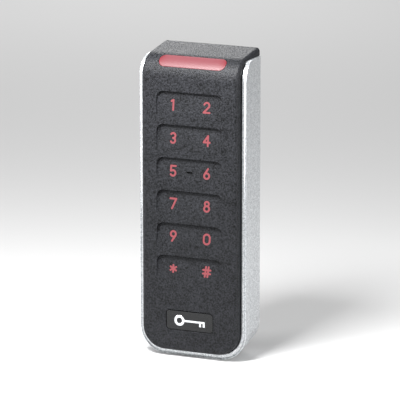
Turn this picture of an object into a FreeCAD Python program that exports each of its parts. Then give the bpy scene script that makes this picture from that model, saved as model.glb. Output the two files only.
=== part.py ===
import FreeCAD, Part
import math
import os

import Sketcher
from FreeCAD import Placement, Rotation, Vector

# Narrow keypad card reader for a door mullion.
# +X is right as seen from the front, the front faces -Y, +Z is up and the wall is the plane y = 0.
# Every "depth" below is a distance from the wall towards the front, so depth = -y.

SIZES = [
    # overall
    ("total_width", 45.0), ("total_height", 121.5), ("total_depth", 21.5),
    # silver trim frame
    ("trim_depth", 18.2), ("trim_draft", 1.8), ("trim_wall", 1.5), ("trim_lip", 1.9),
    ("trim_lip_bottom", 2.2), ("trim_top_drop", 3.1), ("trim_bend", 7.5),
    ("trim_corner", 11.0), ("cavity_corner", 8.0), ("shelf_depth", 14.0),
    ("groove_inset", 0.5), ("groove_width", 0.3), ("groove_depth", 0.35),
    # front cover
    ("cover_gap", 0.3), ("cover_front_wall", 2.2), ("cover_side_wall", 2.4), ("cover_top_wall", 1.8),
    ("cover_rise", 3.0), ("cover_bend", 9.0), ("cover_edge", 1.5), ("cover_corner", 9.1),
    # keypad scoops and their legends
    ("key_rows", 6), ("row_pitch", 13.0), ("first_row_drop", 15.7), ("scoop_width", 27.8),
    ("scoop_height", 9.8), ("scoop_depth", 1.2), ("scoop_corner", 2.8),
    ("legend_spread", 14.2), ("legend_drop", 5.25), ("legend_stroke", 0.72), ("legend_wide", 2.5),
    ("legend_tall", 3.8), ("legend_sink", 0.35), ("tactile_length", 2.2), ("tactile_height", 0.5),
    ("tactile_rise", 0.35), ("tactile_root", 0.4),
    # light bar across the top bend
    ("lens_length", 28.0), ("lens_height", 5.8), ("lens_corner", 2.6), ("lens_angle", 49.5),
    ("lens_fit", 0.05), ("light_guide_gap", 0.15), ("light_guide_thick", 1.8), ("led_height", 0.6),
    ("led_length", 1.6), ("led_width", 0.8), ("small_board", 0.8), ("bar_led_count", 5),
    ("light_guide_rim", 0.7), ("bar_board_rim", 0.5), ("bar_board_tail", 1.5),
    # badge
    ("badge_width", 19.8), ("badge_height", 7.7), ("badge_thick", 0.8), ("badge_corner", 1.3),
    ("badge_gap", 0.2), ("badge_sink", 0.2), ("badge_rise", 15.05), ("emblem_length", 13.0),
    ("emblem_bow", 2.2), ("emblem_hole", 1.1), ("emblem_bar", 0.9), ("emblem_rise", 0.15),
    ("emblem_tooth", 1.87), ("emblem_tooth_pitch", 1.53),
    # wall plate
    ("plate_thick", 1.5), ("plate_inset", 0.9), ("plate_corner", 2.0), ("hook_drop", 7.45),
    ("hook_spread", 22.0), ("hook_width", 4.0), ("hook_gap", 1.6), ("hook_overlap", 1.2),
    ("tab_rise", 9.75), ("tab_width", 9.0), ("tab_reach", 9.0), ("wall_screw_spacing", 83.3),
    ("wall_screw_radius", 2.0), ("opening_width", 19.0), ("opening_height", 32.0),
    # rear housing
    ("plate_gap", 0.3), ("case_gap", 0.2), ("case_wall", 1.5), ("rim_gap", 0.2), ("hook_play", 0.6),
    ("hook_lift", 0.9), ("hook_swing", 1.5), ("tab_play", 0.7), ("tab_swing", 0.9),
    ("cup_radius", 4.6), ("cup_depth", 4.0), ("cup_wall", 1.2), ("bay_width", 21.6),
    ("bay_height", 32.6), ("bay_floor", 7.0), ("bay_wall", 1.2),
    ("post_radius", 2.6), ("post_gap", 0.5), ("post_board_gap", 0.0), ("post_low_rise", 14.75),
    ("pilot_room", 0.5), ("window_sleeve", 0.8), ("seal_width", 0.9), ("seal_thick", 0.9),
    # main board and what it carries
    ("board_gap", 0.2), ("board_thick", 1.6), ("board_side_gap", 0.5), ("board_top_drop", 10.75),
    ("board_low_rise", 11.45), ("terminal_count", 5), ("terminal_pitch", 3.5), ("terminal_tall", 7.5),
    ("terminal_level", 12.0), ("terminal_stand", 2.8), ("terminal_screw", 1.1),
    ("terminal_screw_inset", 0.5), ("terminal_screw_tall", 1.6), ("terminal_screw_shift", 1.0),
    ("terminal_slot_width", 0.4), ("terminal_slot_depth", 0.6), ("terminal_well_room", 0.2),
    ("terminal_window", 0.2), ("wire_entry", 2.2), ("wire_depth", 4.6), ("wire_reach", 4.6),
    ("cage_thick", 0.4), ("cage_inset", 0.6), ("shield_size", 14.0), ("shield_tall", 2.0),
    ("shield_across", 6.0), ("shield_gap", 12.5), ("chip_size", 9.0), ("chip_tall", 1.2),
    ("chip_across", 4.0), ("chip_gap", 7.0), ("sounder_radius", 6.5), ("sounder_tall", 4.0),
    ("sounder_gap", 6.05), ("sound_hole", 1.2), ("sound_hole_depth", 1.0), ("link_length", 15.0),
    ("link_width", 2.5), ("link_rise", 2.6), ("link_socket_tall", 4.0), ("small_columns", 4),
    ("small_rows", 3), ("small_across", 9.5), ("small_gap", 12.5), ("small_step_x", 2.6),
    ("small_step_z", 4.5), ("small_wide", 1.6), ("small_long", 2.6), ("small_tall", 0.9),
    ("window_radius", 2.2), ("window_across", 14.0), ("window_level", 25.0), ("pane_proud", 0.4),
    ("sensor_size", 3.2), ("sensor_tall", 2.6),
    # keypad board, light guide and antenna
    ("keypad_side", 0.7), ("keypad_top_gap", 0.65), ("keypad_tail", 3.45), ("keypad_thick", 1.2),
    ("guide_thick", 1.5), ("guide_gap", 0.1), ("guide_tail", 1.95), ("led_room", 0.2),
    ("coil_width", 1.8), ("coil_thick", 0.9), ("coil_inset", 0.6), ("coil_corner", 2.5),
    ("ferrite_thick", 0.5), ("ferrite_gap", 0.1), ("ferrite_inset", 1.0), ("peg_radius", 0.9),
    ("peg_fit", 0.1), ("peg_inset", 3.5),
    # fasteners
    ("case_screw_radius", 1.25), ("case_screw_fit", 0.05), ("case_screw_length", 10.0),
    ("case_head_radius", 2.2), ("case_head_tall", 1.5), ("case_head_fit", 0.15),
    ("case_head_sink", 2.0), ("cross_reach", 1.3), ("cross_width", 0.56), ("cross_depth", 0.8),
    ("lock_screw_depth", 6.2), ("lock_screw_radius", 1.5),
    ("lock_screw_fit", 0.05), ("lock_head_radius", 2.75), ("lock_head_tall", 1.4),
    ("lock_travel", 2.0), ("lock_clear", 0.7), ("lock_head_fit", 0.4), ("lock_socket", 0.95),
    ("lock_socket_depth", 1.0), ("lock_pin", 0.3),
    ("washer_radius", 2.6), ("washer_thick", 0.5), ("washer_play", 0.05),
]

# How far a cutting tool runs past the face that it opens, and how far a boss runs into its wall.
PAST = 1.0
BITE = 0.1

doc = FreeCAD.newDocument("card_reader")


# ---------------------------------------------------------------- sizes

class Size:
    """A length that carries both its number and the sheet expression that gives it."""

    def __init__(self, number, text):
        self.number = number
        self.text = text

    def __add__(self, other):
        other = as_size(other)
        return Size(self.number + other.number, "(%s + %s)" % (self.text, other.text))

    def __sub__(self, other):
        other = as_size(other)
        return Size(self.number - other.number, "(%s - %s)" % (self.text, other.text))

    def __mul__(self, other):
        other = as_size(other)
        return Size(self.number * other.number, "(%s * %s)" % (self.text, other.text))

    def __truediv__(self, other):
        other = as_size(other)
        return Size(self.number / other.number, "(%s / %s)" % (self.text, other.text))

    def __neg__(self):
        return Size(-self.number, "(0 - %s)" % self.text)

    def __radd__(self, other):
        return as_size(other) + self

    def __rsub__(self, other):
        return as_size(other) - self

    def __rmul__(self, other):
        return as_size(other) * self


def as_size(value):
    """Turn a plain number into a Size, and leave a Size as it is."""
    if isinstance(value, Size):
        return value
    return Size(float(value), repr(float(value)))


class SizeSheet:
    """The document's spreadsheet, read by alias."""

    def __init__(self, rows):
        self.sheet = doc.addObject("Spreadsheet::Sheet", "Sizes")
        for row, (alias, value) in enumerate(rows, start=1):
            self.sheet.set("A%d" % row, alias)
            self.sheet.set("B%d" % row, str(value))
            self.sheet.setAlias("B%d" % row, alias)
        doc.recompute()

    def __getattr__(self, alias):
        return Size(float(self.sheet.get(alias)), "Sizes." + alias)


sz = SizeSheet(SIZES)

# Levels and half widths that several pieces share.
HALF_WIDTH = sz.total_width / 2
TOP = sz.total_height / 2
BOTTOM = -TOP
TRIM_TOP = TOP - sz.trim_top_drop
CAVITY_HALF = HALF_WIDTH - sz.trim_draft - sz.trim_wall
CAVITY_BOTTOM = BOTTOM + sz.trim_draft + sz.trim_wall
COVER_HALF = HALF_WIDTH - sz.trim_lip - sz.cover_gap
COVER_BOTTOM = BOTTOM + sz.trim_lip_bottom + sz.cover_gap
COVER_INSIDE = sz.total_depth - sz.cover_front_wall
FIRST_SCOOP = TOP - sz.first_row_drop
BEND_DEPTH = sz.total_depth - sz.cover_bend
CASE_BACK = sz.plate_thick + sz.plate_gap
CASE_INSIDE = CASE_BACK + sz.case_wall
CASE_RIM = sz.shelf_depth - sz.rim_gap
CASE_HALF = CAVITY_HALF - sz.case_gap
CASE_BOTTOM = CAVITY_BOTTOM + sz.case_gap
CASE_TOP = TRIM_TOP - sz.case_gap
BOARD_BACK = sz.bay_floor + sz.bay_wall + sz.board_gap
BOARD_FRONT = BOARD_BACK + sz.board_thick
GUIDE_FRONT = COVER_INSIDE - sz.guide_gap
GUIDE_BACK = GUIDE_FRONT - sz.guide_thick
KEYPAD_FRONT = GUIDE_BACK - sz.guide_gap
KEYPAD_BACK = KEYPAD_FRONT - sz.keypad_thick
COIL_BACK = KEYPAD_BACK - sz.coil_thick
LAST_SCOOP_END = FIRST_SCOOP - sz.row_pitch * sz.key_rows
KEYPAD_TOP = FIRST_SCOOP - sz.keypad_top_gap
KEYPAD_BOTTOM = LAST_SCOOP_END - sz.keypad_tail
GUIDE_BOTTOM = LAST_SCOOP_END + sz.guide_tail
LINK_LOW = KEYPAD_BOTTOM + sz.link_rise - sz.link_width / 2
LINK_HIGH = LINK_LOW + sz.link_width
SOUNDER_LEVEL = LINK_HIGH + sz.sounder_gap + sz.sounder_radius
CHIP_LOW = SOUNDER_LEVEL + sz.sounder_radius + sz.chip_gap
CHIP_HIGH = CHIP_LOW + sz.chip_size
BADGE_LEVEL = BOTTOM + sz.badge_rise
HOOK_LEVEL = TOP - sz.hook_drop
HOOK_BACK = CASE_INSIDE + sz.hook_gap
HOOK_LIP = HOOK_LEVEL + sz.hook_lift
HOOK_TOP = HOOK_LIP + sz.hook_overlap
TAB_TOP = BOTTOM + sz.tab_rise
TAB_BOTTOM = TAB_TOP - sz.plate_thick
LOCK_TIP = TAB_BOTTOM - sz.lock_clear
CASE_SCREW_SEAT = CASE_BACK + sz.case_head_sink + sz.case_head_tall
POST_HALF = COVER_HALF - sz.cover_side_wall - sz.post_radius - sz.post_gap
POST_LEVELS = KEYPAD_TOP + sz.post_board_gap + sz.post_radius, BOTTOM + sz.post_low_rise
POSTS = [(side * POST_HALF, level) for side in (-1, 1) for level in POST_LEVELS]
KEYPAD_HALF = POST_HALF + sz.keypad_side
PEG_HALF = KEYPAD_HALF - sz.peg_inset
PEGS = [(side * PEG_HALF, FIRST_SCOOP - sz.row_pitch * row) for side in (-1, 1) for row in (1, 4)]


# ---------------------------------------------------------------- drawing helpers

def bind(item, path, value):
    """Tie one property of an object to the sheet."""
    item.setExpression(path, as_size(value).text)


def place(item, x, depth, z, turn=None):
    """Stand an object at a point given by x, depth and z."""
    turn = turn or Rotation()
    x, y, z = as_size(x), -as_size(depth), as_size(z)
    item.Placement = Placement(Vector(x.number, y.number, z.number), turn)
    bind(item, "Placement.Base.x", x)
    bind(item, "Placement.Base.y", y)
    bind(item, "Placement.Base.z", z)


def block(name, across, depth, level):
    """A box between two x values, two depths and two levels."""
    item = doc.addObject("Part::Box", name)
    bind(item, "Length", as_size(across[1]) - across[0])
    bind(item, "Width", as_size(depth[1]) - depth[0])
    bind(item, "Height", as_size(level[1]) - level[0])
    place(item, across[0], depth[1], level[0])
    return item


def rod(name, radius, x, z, depth):
    """A cylinder that runs from the first depth to the second."""
    item = doc.addObject("Part::Cylinder", name)
    bind(item, "Radius", radius)
    bind(item, "Height", as_size(depth[1]) - depth[0])
    place(item, x, depth[0], z, Rotation(Vector(1, 0, 0), 90))
    return item


def upright(name, radius, x, depth, level):
    """A cylinder that stands between two levels."""
    item = doc.addObject("Part::Cylinder", name)
    bind(item, "Radius", radius)
    bind(item, "Height", as_size(level[1]) - level[0])
    place(item, x, depth, level[0])
    return item


def join(name, items):
    """Fuse touching solids into one."""
    item = doc.addObject("Part::MultiFuse", name)
    item.Shapes = items
    item.Refine = True
    return item


def gather(name, items):
    """Keep separate solids together as one group."""
    item = doc.addObject("Part::Compound", name)
    item.Links = items
    return item


def carve(name, base, tools):
    """Cut one or more tools from a base."""
    tool = tools[0] if len(tools) == 1 else gather(name + "_tools", tools)
    item = doc.addObject("Part::Cut", name)
    item.Base = base
    item.Tool = tool
    return item


def overlap(name, base, tool):
    """Keep what two solids share."""
    item = doc.addObject("Part::Common", name)
    item.Base = base
    item.Tool = tool
    return item


def raw(name, shape):
    """A piece whose shape comes from Part's own functions and the sheet's sizes."""
    item = doc.addObject("Part::Feature", name)
    item.Shape = shape
    return item


def edges_where(shape, test):
    """Numbers of the edges whose ends and middle all pass a test."""
    found = []
    for number, edge in enumerate(shape.Edges, start=1):
        first, last = edge.ParameterRange
        points = [edge.valueAt(first), edge.valueAt((first + last) / 2), edge.valueAt(last)]
        if all(test(point) for point in points):
            found.append(number)
    return found


def runs_along(shape, number, axis):
    """Whether a straight edge is parallel to an axis."""
    edge = shape.Edges[number - 1]
    line = edge.valueAt(edge.LastParameter) - edge.valueAt(edge.FirstParameter)
    return abs(line.normalize().dot(axis)) > 0.999


def soften(name, base, radius, axis):
    """Round every edge of a simple solid that runs along an axis."""
    doc.recompute()
    numbers = [n for n in range(1, len(base.Shape.Edges) + 1) if runs_along(base.Shape, n, axis)]
    item = doc.addObject("Part::Fillet", name)
    item.Base = base
    item.Edges = [(n, radius.number, radius.number) for n in numbers]
    return item


# ---------------------------------------------------------------- Part Design helpers

def new_body(name):
    """A Part Design body."""
    return doc.addObject("PartDesign::Body", name)


def origin_part(body, role):
    """One of the body's own origin planes or axes."""
    return [item for item in body.Origin.OriginFeatures if item.Role == role][0]


def new_sketch(body, name, role, offset):
    """An empty sketch on one of the body's origin planes, moved along its normal."""
    sketch = body.newObject("Sketcher::SketchObject", name)
    sketch.AttachmentSupport = (origin_part(body, role), [""])
    sketch.MapMode = "FlatFace"
    sketch.AttachmentOffset = Placement(Vector(0, 0, as_size(offset).number), Rotation())
    bind(sketch, "AttachmentOffset.Base.z", offset)
    return sketch


def fix_value(sketch, kind, geometry, value, position=None):
    """Add one driving dimension and tie it to the sheet."""
    value = as_size(value)
    if position is None:
        number = sketch.addConstraint(Sketcher.Constraint(kind, geometry, value.number))
    else:
        number = sketch.addConstraint(Sketcher.Constraint(kind, geometry, position, value.number))
    label = "%s_%d" % (kind.lower(), number)
    sketch.renameConstraint(number, label)
    bind(sketch, "Constraints." + label, value)


def add_polygon(sketch, points):
    """Draw a closed outline whose corners are all tied to the sheet."""
    points = [(as_size(x), as_size(y)) for x, y in points]
    start = sketch.GeometryCount
    for (x, y), (next_x, next_y) in zip(points, points[1:] + points[:1]):
        ends = Vector(x.number, y.number, 0), Vector(next_x.number, next_y.number, 0)
        sketch.addGeometry(Part.LineSegment(*ends))
    for step, (x, y) in enumerate(points):
        here = start + step
        after = start + (step + 1) % len(points)
        sketch.addConstraint(Sketcher.Constraint("Coincident", here, 2, after, 1))
        fix_value(sketch, "DistanceX", here, x, 1)
        fix_value(sketch, "DistanceY", here, y, 1)


def add_circle(sketch, x, y, radius):
    """Draw a circle tied to the sheet."""
    x, y, radius = as_size(x), as_size(y), as_size(radius)
    circle = Part.Circle(Vector(x.number, y.number, 0), Vector(0, 0, 1), radius.number)
    number = sketch.addGeometry(circle)
    fix_value(sketch, "DistanceX", number, x, 3)
    fix_value(sketch, "DistanceY", number, y, 3)
    fix_value(sketch, "Radius", number, radius)


def rectangle(left, right, bottom, top):
    """Corner points of a rectangle."""
    return [(left, bottom), (right, bottom), (right, top), (left, top)]


def front_sketch(body, name, depth, polygons=(), circles=()):
    """A sketch seen from the front, standing at one depth."""
    sketch = new_sketch(body, name, "XZ_Plane", depth)
    for points in polygons:
        add_polygon(sketch, points)
    for x, z, radius in circles:
        add_circle(sketch, x, z, radius)
    return sketch


def side_sketch(body, name, points):
    """A sketch of (depth, level) points, seen from the side on the middle plane."""
    sketch = new_sketch(body, name, "YZ_Plane", 0)
    add_polygon(sketch, [(-as_size(depth), level) for depth, level in points])
    return sketch


def grow(body, name, sketch, length, middle=False):
    """Pad a sketch towards the front, or both ways from the middle plane."""
    pad = body.newObject("PartDesign::Pad", name)
    pad.Profile = sketch
    pad.Midplane = middle
    bind(pad, "Length", length)
    sketch.Visibility = False
    return pad


def sink(body, name, sketch, length, middle=False):
    """Pocket a sketch towards the front, or both ways from the middle plane."""
    pocket = body.newObject("PartDesign::Pocket", name)
    pocket.Profile = sketch
    pocket.Midplane = middle
    pocket.Reversed = not middle
    bind(pocket, "Length", length)
    sketch.Visibility = False
    return pocket


def grow_between(body, name, start, end, polygons=(), circles=()):
    """Pad an outline from one depth to another."""
    sketch = front_sketch(body, name + "_outline", start, polygons, circles)
    return grow(body, name, sketch, as_size(end) - start)


def sink_between(body, name, start, end, polygons=(), circles=()):
    """Pocket an outline from one depth to another."""
    sketch = front_sketch(body, name + "_outline", start, polygons, circles)
    return sink(body, name, sketch, as_size(end) - start)


def round_edges(body, name, radius, test, axis=None):
    """Fillet the body's edges that pass a test and, if given, run along an axis."""
    doc.recompute()
    base = body.Tip
    numbers = edges_where(base.Shape, test)
    if axis is not None:
        numbers = [number for number in numbers if runs_along(base.Shape, number, axis)]
    if not numbers:
        raise ValueError("no edge found for " + name)
    fillet = body.newObject("PartDesign::Fillet", name)
    fillet.Base = (base, ["Edge%d" % number for number in numbers])
    bind(fillet, "Radius", radius)
    doc.recompute()
    return fillet


def low_cornered(name, half, levels, depths, corner):
    """A body of its own: an upright block with rounded lower corners."""
    body = new_body(name)
    low, high = levels
    grow_between(body, "block", depths[0], depths[1], [rectangle(-half, half, low, high)])
    round_edges(body, "low_corners", corner, lambda p: near(p.z, low), Y_AXIS)
    return body


def remove(body, name, tool):
    """Cut another body out of this one."""
    doc.recompute()
    boolean = body.newObject("PartDesign::Boolean", name)
    boolean.Type = "Cut"
    boolean.setObjects([tool])
    doc.recompute()
    return boolean


def near(value, size, room=0.01):
    """Whether a coordinate lies at a size."""
    return abs(value - as_size(size).number) < room


X_AXIS = Vector(1, 0, 0)
Y_AXIS = Vector(0, 1, 0)
Z_AXIS = Vector(0, 0, 1)


# ---------------------------------------------------------------- wall plate

def mounting_plate():
    """Steel plate with two hooks at the top and a tapped tab at the bottom."""
    body = new_body("mounting_plate")
    half = CAVITY_HALF - sz.plate_inset
    outline = rectangle(-half, half, TAB_BOTTOM, HOOK_LEVEL)
    grow_between(body, "sheet_metal", 0, sz.plate_thick, [outline])
    round_edges(body, "plate_corners", sz.plate_corner, lambda p: near(abs(p.x), half), Y_AXIS)
    hooks = []
    for side in (-1, 1):
        middle = side * sz.hook_spread / 2
        hooks.append((middle - sz.hook_width / 2, middle + sz.hook_width / 2))
    hook_front = HOOK_BACK + sz.plate_thick
    hook_low = HOOK_LEVEL - sz.plate_thick
    arms = [rectangle(left, right, hook_low, HOOK_LEVEL) for left, right in hooks]
    grow_between(body, "hook_arms", sz.plate_thick, hook_front, arms)
    tips = [rectangle(left, right, hook_low, HOOK_TOP) for left, right in hooks]
    grow_between(body, "hook_tips", HOOK_BACK, hook_front, tips)
    tab = rectangle(-sz.tab_width / 2, sz.tab_width / 2, TAB_BOTTOM, TAB_TOP)
    grow_between(body, "screw_tab", sz.plate_thick, sz.tab_reach, [tab])
    wide = sz.opening_width / 2
    tall = sz.opening_height / 2
    opening = rectangle(-wide, wide, -tall, tall)
    sink_between(body, "cable_opening", 0, sz.plate_thick, [opening])
    corner_test = lambda p: near(abs(p.x), wide) and near(abs(p.z), tall)
    round_edges(body, "opening_corners", sz.plate_corner, corner_test, Y_AXIS)
    holes = [(0, side * sz.wall_screw_spacing / 2, sz.wall_screw_radius) for side in (-1, 1)]
    sink_between(body, "wall_screw_holes", 0, sz.plate_thick, circles=holes)
    tapped = new_sketch(body, "tapped_hole_outline", "XY_Plane", TAB_BOTTOM)
    add_circle(tapped, 0, -sz.lock_screw_depth, sz.lock_screw_radius + sz.lock_screw_fit)
    sink(body, "tapped_hole", tapped, sz.plate_thick)
    return body


# ---------------------------------------------------------------- trim frame

def trim_outline(inset):
    """Corner points of the trim's front outline, pulled in by an inset."""
    half = HALF_WIDTH - inset
    return rectangle(-half, half, BOTTOM + inset, TRIM_TOP)


def trim_shell():
    """The drafted outer block of the trim, curved back at the top."""
    body = new_body("trim_block")
    front = front_sketch(body, "lip_outline", sz.trim_depth, [trim_outline(as_size(0))])
    back = front_sketch(body, "wall_outline", 0, [trim_outline(sz.trim_draft)])
    loft = body.newObject("PartDesign::AdditiveLoft", "drafted_block")
    loft.Profile = back
    loft.Sections = [front]
    loft.Ruled = True
    corner_test = lambda p: p.z < CAVITY_BOTTOM.number
    doc.recompute()
    numbers = edges_where(loft.Shape, corner_test)
    lean = [n for n in numbers if near(loft.Shape.Edges[n - 1].Length, sz.trim_depth, PAST)]
    fillet = body.newObject("PartDesign::Fillet", "bottom_corners")
    fillet.Base = (loft, ["Edge%d" % number for number in lean])
    bind(fillet, "Radius", sz.trim_corner)
    doc.recompute()
    bend_test = lambda p: near(p.y, -sz.trim_depth) and near(p.z, TRIM_TOP)
    round_edges(body, "top_bend", sz.trim_bend, bend_test)
    return body


def trim_frame():
    """Silver frame round the sides and bottom, open at the back, front and top."""
    shell = trim_shell()
    high = TOP + sz.trim_top_drop
    levels = CAVITY_BOTTOM, high
    cavity = low_cornered("trim_cavity", CAVITY_HALF, levels, (-PAST, sz.total_depth), sz.cavity_corner)
    half = COVER_HALF + sz.cover_gap
    levels = COVER_BOTTOM - sz.cover_gap, high
    depths = sz.shelf_depth, sz.total_depth
    rebate = low_cornered("trim_rebate", half, levels, depths, sz.cover_corner + sz.cover_gap)
    hole_levels = BOTTOM - PAST, CAVITY_BOTTOM + PAST
    head_hole = sz.lock_head_radius + sz.lock_head_fit
    hole = upright("lock_screw_hole", head_hole, 0, sz.lock_screw_depth, hole_levels)
    return carve("trim_frame", shell, [cavity, rebate, lip_groove(), hole])


def lip_groove():
    """The fine line that runs round the lip near its outer edge."""
    rings = []
    depths = sz.trim_depth - sz.groove_depth, sz.total_depth
    for name, inset in (("outer", sz.groove_inset), ("inner", sz.groove_inset + sz.groove_width)):
        levels = BOTTOM + inset, TOP
        corner = sz.trim_corner - inset
        rings.append(low_cornered("groove_" + name, HALF_WIDTH - inset, levels, depths, corner))
    return carve("lip_groove", rings[0], [rings[1]])


# ---------------------------------------------------------------- front cover

def cover_top(depth, drop):
    """Level of the cover's sloping top at one depth, lowered by a wall."""
    depth = as_size(depth)
    return TOP - sz.cover_rise * depth / sz.total_depth - drop


def cover_shell():
    """Moulded cover: face, bend, sloping top, hollow inside and six scoops."""
    body = new_body("cover_shell")
    outer = [(0, TOP), (sz.total_depth, TOP - sz.cover_rise),
             (sz.total_depth, COVER_BOTTOM), (0, COVER_BOTTOM)]
    profile = side_sketch(body, "cover_profile", outer)
    grow(body, "cover_block", profile, COVER_HALF * 2, middle=True)
    front = -sz.total_depth
    bend_test = lambda p: near(p.y, front) and near(p.z, TOP - sz.cover_rise)
    round_edges(body, "top_bend", sz.cover_bend, bend_test)
    low_test = lambda p: near(p.z, COVER_BOTTOM) and near(abs(p.x), COVER_HALF)
    round_edges(body, "cover_corners", sz.cover_corner, low_test, Y_AXIS)
    round_edges(body, "soft_front_edge", sz.cover_edge, on_front_rim)
    below_cap = [(-PAST, BOTTOM), (sz.shelf_depth, BOTTOM), (sz.shelf_depth, TRIM_TOP), (-PAST, TRIM_TOP)]
    sink(body, "room_for_tray", side_sketch(body, "tray_room", below_cap), sz.total_width, middle=True)
    hollow_cover(body)
    scoop_rows(body)
    cover_details(body)
    return body


def on_front_rim(point):
    """Whether a point lies where the cover's face, bend or top meets its sides."""
    if point.z < COVER_BOTTOM.number + sz.cover_corner.number - 0.01:
        return near(point.y, -sz.total_depth)
    if not near(abs(point.x), COVER_HALF):
        return False
    if point.z < TRIM_TOP.number + 0.01:
        return point.y < -BEND_DEPTH.number - sz.cover_bend.number / 2
    return True


def hollow_cover(body):
    """Hollow the cover from behind and leave a step for the seal."""
    inner_half = COVER_HALF - sz.cover_side_wall
    inner_low = COVER_BOTTOM + sz.cover_side_wall
    rear = sz.shelf_depth - PAST
    rear_level = cover_top(rear, sz.cover_top_wall)
    front_level = cover_top(COVER_INSIDE, sz.cover_top_wall)
    core = new_body("cover_core")
    inner = [(rear, rear_level), (COVER_INSIDE, front_level),
             (COVER_INSIDE, inner_low), (rear, inner_low)]
    grow(core, "core_block", side_sketch(core, "core_profile", inner), inner_half * 2, middle=True)
    corner = sz.cover_corner - sz.cover_side_wall
    low_test = lambda p: near(p.z, inner_low) and near(abs(p.x), inner_half)
    round_edges(core, "core_corners", corner, low_test, Y_AXIS)
    bend = sz.cover_bend - sz.cover_front_wall
    bend_test = lambda p: near(p.y, -COVER_INSIDE) and near(p.z, front_level)
    round_edges(core, "core_bend", bend, bend_test)
    remove(body, "hollow", core)
    levels = inner_low - sz.seal_width, cover_top(sz.shelf_depth, sz.cover_top_wall)
    depths = rear, CASE_RIM + sz.seal_thick
    seat = low_cornered("seal_seat", inner_half + sz.seal_width, levels, depths, corner + sz.seal_width)
    remove(body, "seal_step", seat)


def scoop_rows(body):
    """One scoop with a sharp upper edge and a ramped floor, repeated down the face."""
    deep = sz.total_depth - sz.scoop_depth
    proud = sz.total_depth + PAST
    low = FIRST_SCOOP - sz.scoop_height
    wedge = [(proud, FIRST_SCOOP), (deep, FIRST_SCOOP), (sz.total_depth, low), (proud, low)]
    scoop = sink(body, "scoop", side_sketch(body, "scoop_profile", wedge), sz.scoop_width, middle=True)
    rows = body.newObject("PartDesign::LinearPattern", "scoop_pattern")
    rows.Originals = [scoop]
    rows.Direction = (origin_part(body, "Z_Axis"), [""])
    rows.Reversed = True
    rows.Occurrences = int(sz.key_rows.number)
    bind(rows, "Length", sz.row_pitch * (sz.key_rows - 1))
    body.Tip = rows
    corner_test = lambda p: near(abs(p.x), sz.scoop_width / 2) and is_scoop_top(p.z)
    round_edges(body, "scoop_corners", sz.scoop_corner, corner_test, Y_AXIS)


def is_scoop_top(level):
    """Whether a level is the top edge of one of the scoops."""
    tops = [FIRST_SCOOP - sz.row_pitch * row for row in range(int(sz.key_rows.number))]
    return any(near(level, top) for top in tops)


def cover_details(body):
    """Badge recess, screw bosses and heat-stake pegs."""
    wide = sz.badge_width / 2 + sz.badge_gap
    low = BADGE_LEVEL - sz.badge_height / 2 - sz.badge_gap
    high = BADGE_LEVEL + sz.badge_height / 2 + sz.badge_gap
    floor = sz.total_depth - sz.badge_sink - sz.badge_thick
    outline = rectangle(-wide, wide, low, high)
    sink_between(body, "badge_recess", floor, sz.total_depth + PAST, [outline])
    test = lambda p: near(abs(p.x), wide) and (near(p.z, low) or near(p.z, high))
    round_edges(body, "badge_recess_corners", sz.badge_corner + sz.badge_gap, test, Y_AXIS)
    bosses = [(x, z, sz.post_radius) for x, z in POSTS]
    grow_between(body, "screw_bosses", BOARD_FRONT, COVER_INSIDE + BITE, circles=bosses)
    pilot = sz.case_screw_radius + sz.case_screw_fit
    pilots = [(x, z, pilot) for x, z in POSTS]
    pilot_end = CASE_SCREW_SEAT + sz.case_screw_length + sz.pilot_room
    sink_between(body, "pilot_holes", BOARD_FRONT, pilot_end, circles=pilots)
    pegs = [(x, z, sz.peg_radius) for x, z in PEGS]
    grow_between(body, "stake_pegs", KEYPAD_BACK, COVER_INSIDE + BITE, circles=pegs)
    tactile_dash(body)


def tactile_dash(body):
    """Raised dash between 5 and 6 that a finger can find."""
    level = FIRST_SCOOP - sz.row_pitch * 2 - sz.legend_drop
    floor = sz.total_depth - sz.scoop_depth + sz.scoop_depth * sz.legend_drop / sz.scoop_height
    half = sz.tactile_length / 2
    tall = sz.tactile_height / 2
    dash = rectangle(-half, half, level - tall, level + tall)
    grow_between(body, "tactile_dash", floor - sz.tactile_root, floor + sz.tactile_rise, [dash])


# ---------------------------------------------------------------- rear housing

def rear_housing():
    """Tray behind the cover: hook slots, screw-head cups, terminal bay and board posts."""
    corner = sz.cavity_corner - sz.case_gap
    body = low_cornered("rear_housing", CASE_HALF, (CASE_BOTTOM, CASE_TOP), (CASE_BACK, CASE_RIM), corner)
    levels = CASE_BOTTOM + sz.case_wall, CASE_TOP - sz.case_wall
    depths = CASE_INSIDE, CASE_RIM + PAST
    inside = low_cornered("tray_inside", CASE_HALF - sz.case_wall, levels, depths, corner - sz.case_wall)
    remove(body, "tray_hollow", inside)
    raise_tray_features(body)
    cut_tray_features(body)
    return body


def raise_tray_features(body):
    """Walls and posts that stand up inside the tray."""
    bay = rectangle(-sz.bay_width / 2 - sz.bay_wall, sz.bay_width / 2 + sz.bay_wall,
                    -sz.bay_height / 2 - sz.bay_wall, sz.bay_height / 2 + sz.bay_wall)
    grow_between(body, "bay_block", CASE_INSIDE - BITE, sz.bay_floor + sz.bay_wall, [bay])
    cup = sz.cup_radius + sz.cup_wall
    cups = [(0, side * sz.wall_screw_spacing / 2, cup) for side in (-1, 1)]
    cup_top = CASE_BACK + sz.cup_depth + sz.cup_wall
    grow_between(body, "screw_cups", CASE_INSIDE - BITE, cup_top, circles=cups)
    posts = [(x, z, sz.post_radius) for x, z in POSTS]
    grow_between(body, "board_posts", CASE_INSIDE - BITE, BOARD_BACK, circles=posts)
    sleeve = sz.window_radius + sz.cup_wall
    spot = [(-sz.window_across, -sz.window_level, sleeve)]
    grow_between(body, "window_sleeve", CASE_INSIDE - BITE, CASE_INSIDE + sz.window_sleeve, circles=spot)


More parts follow.
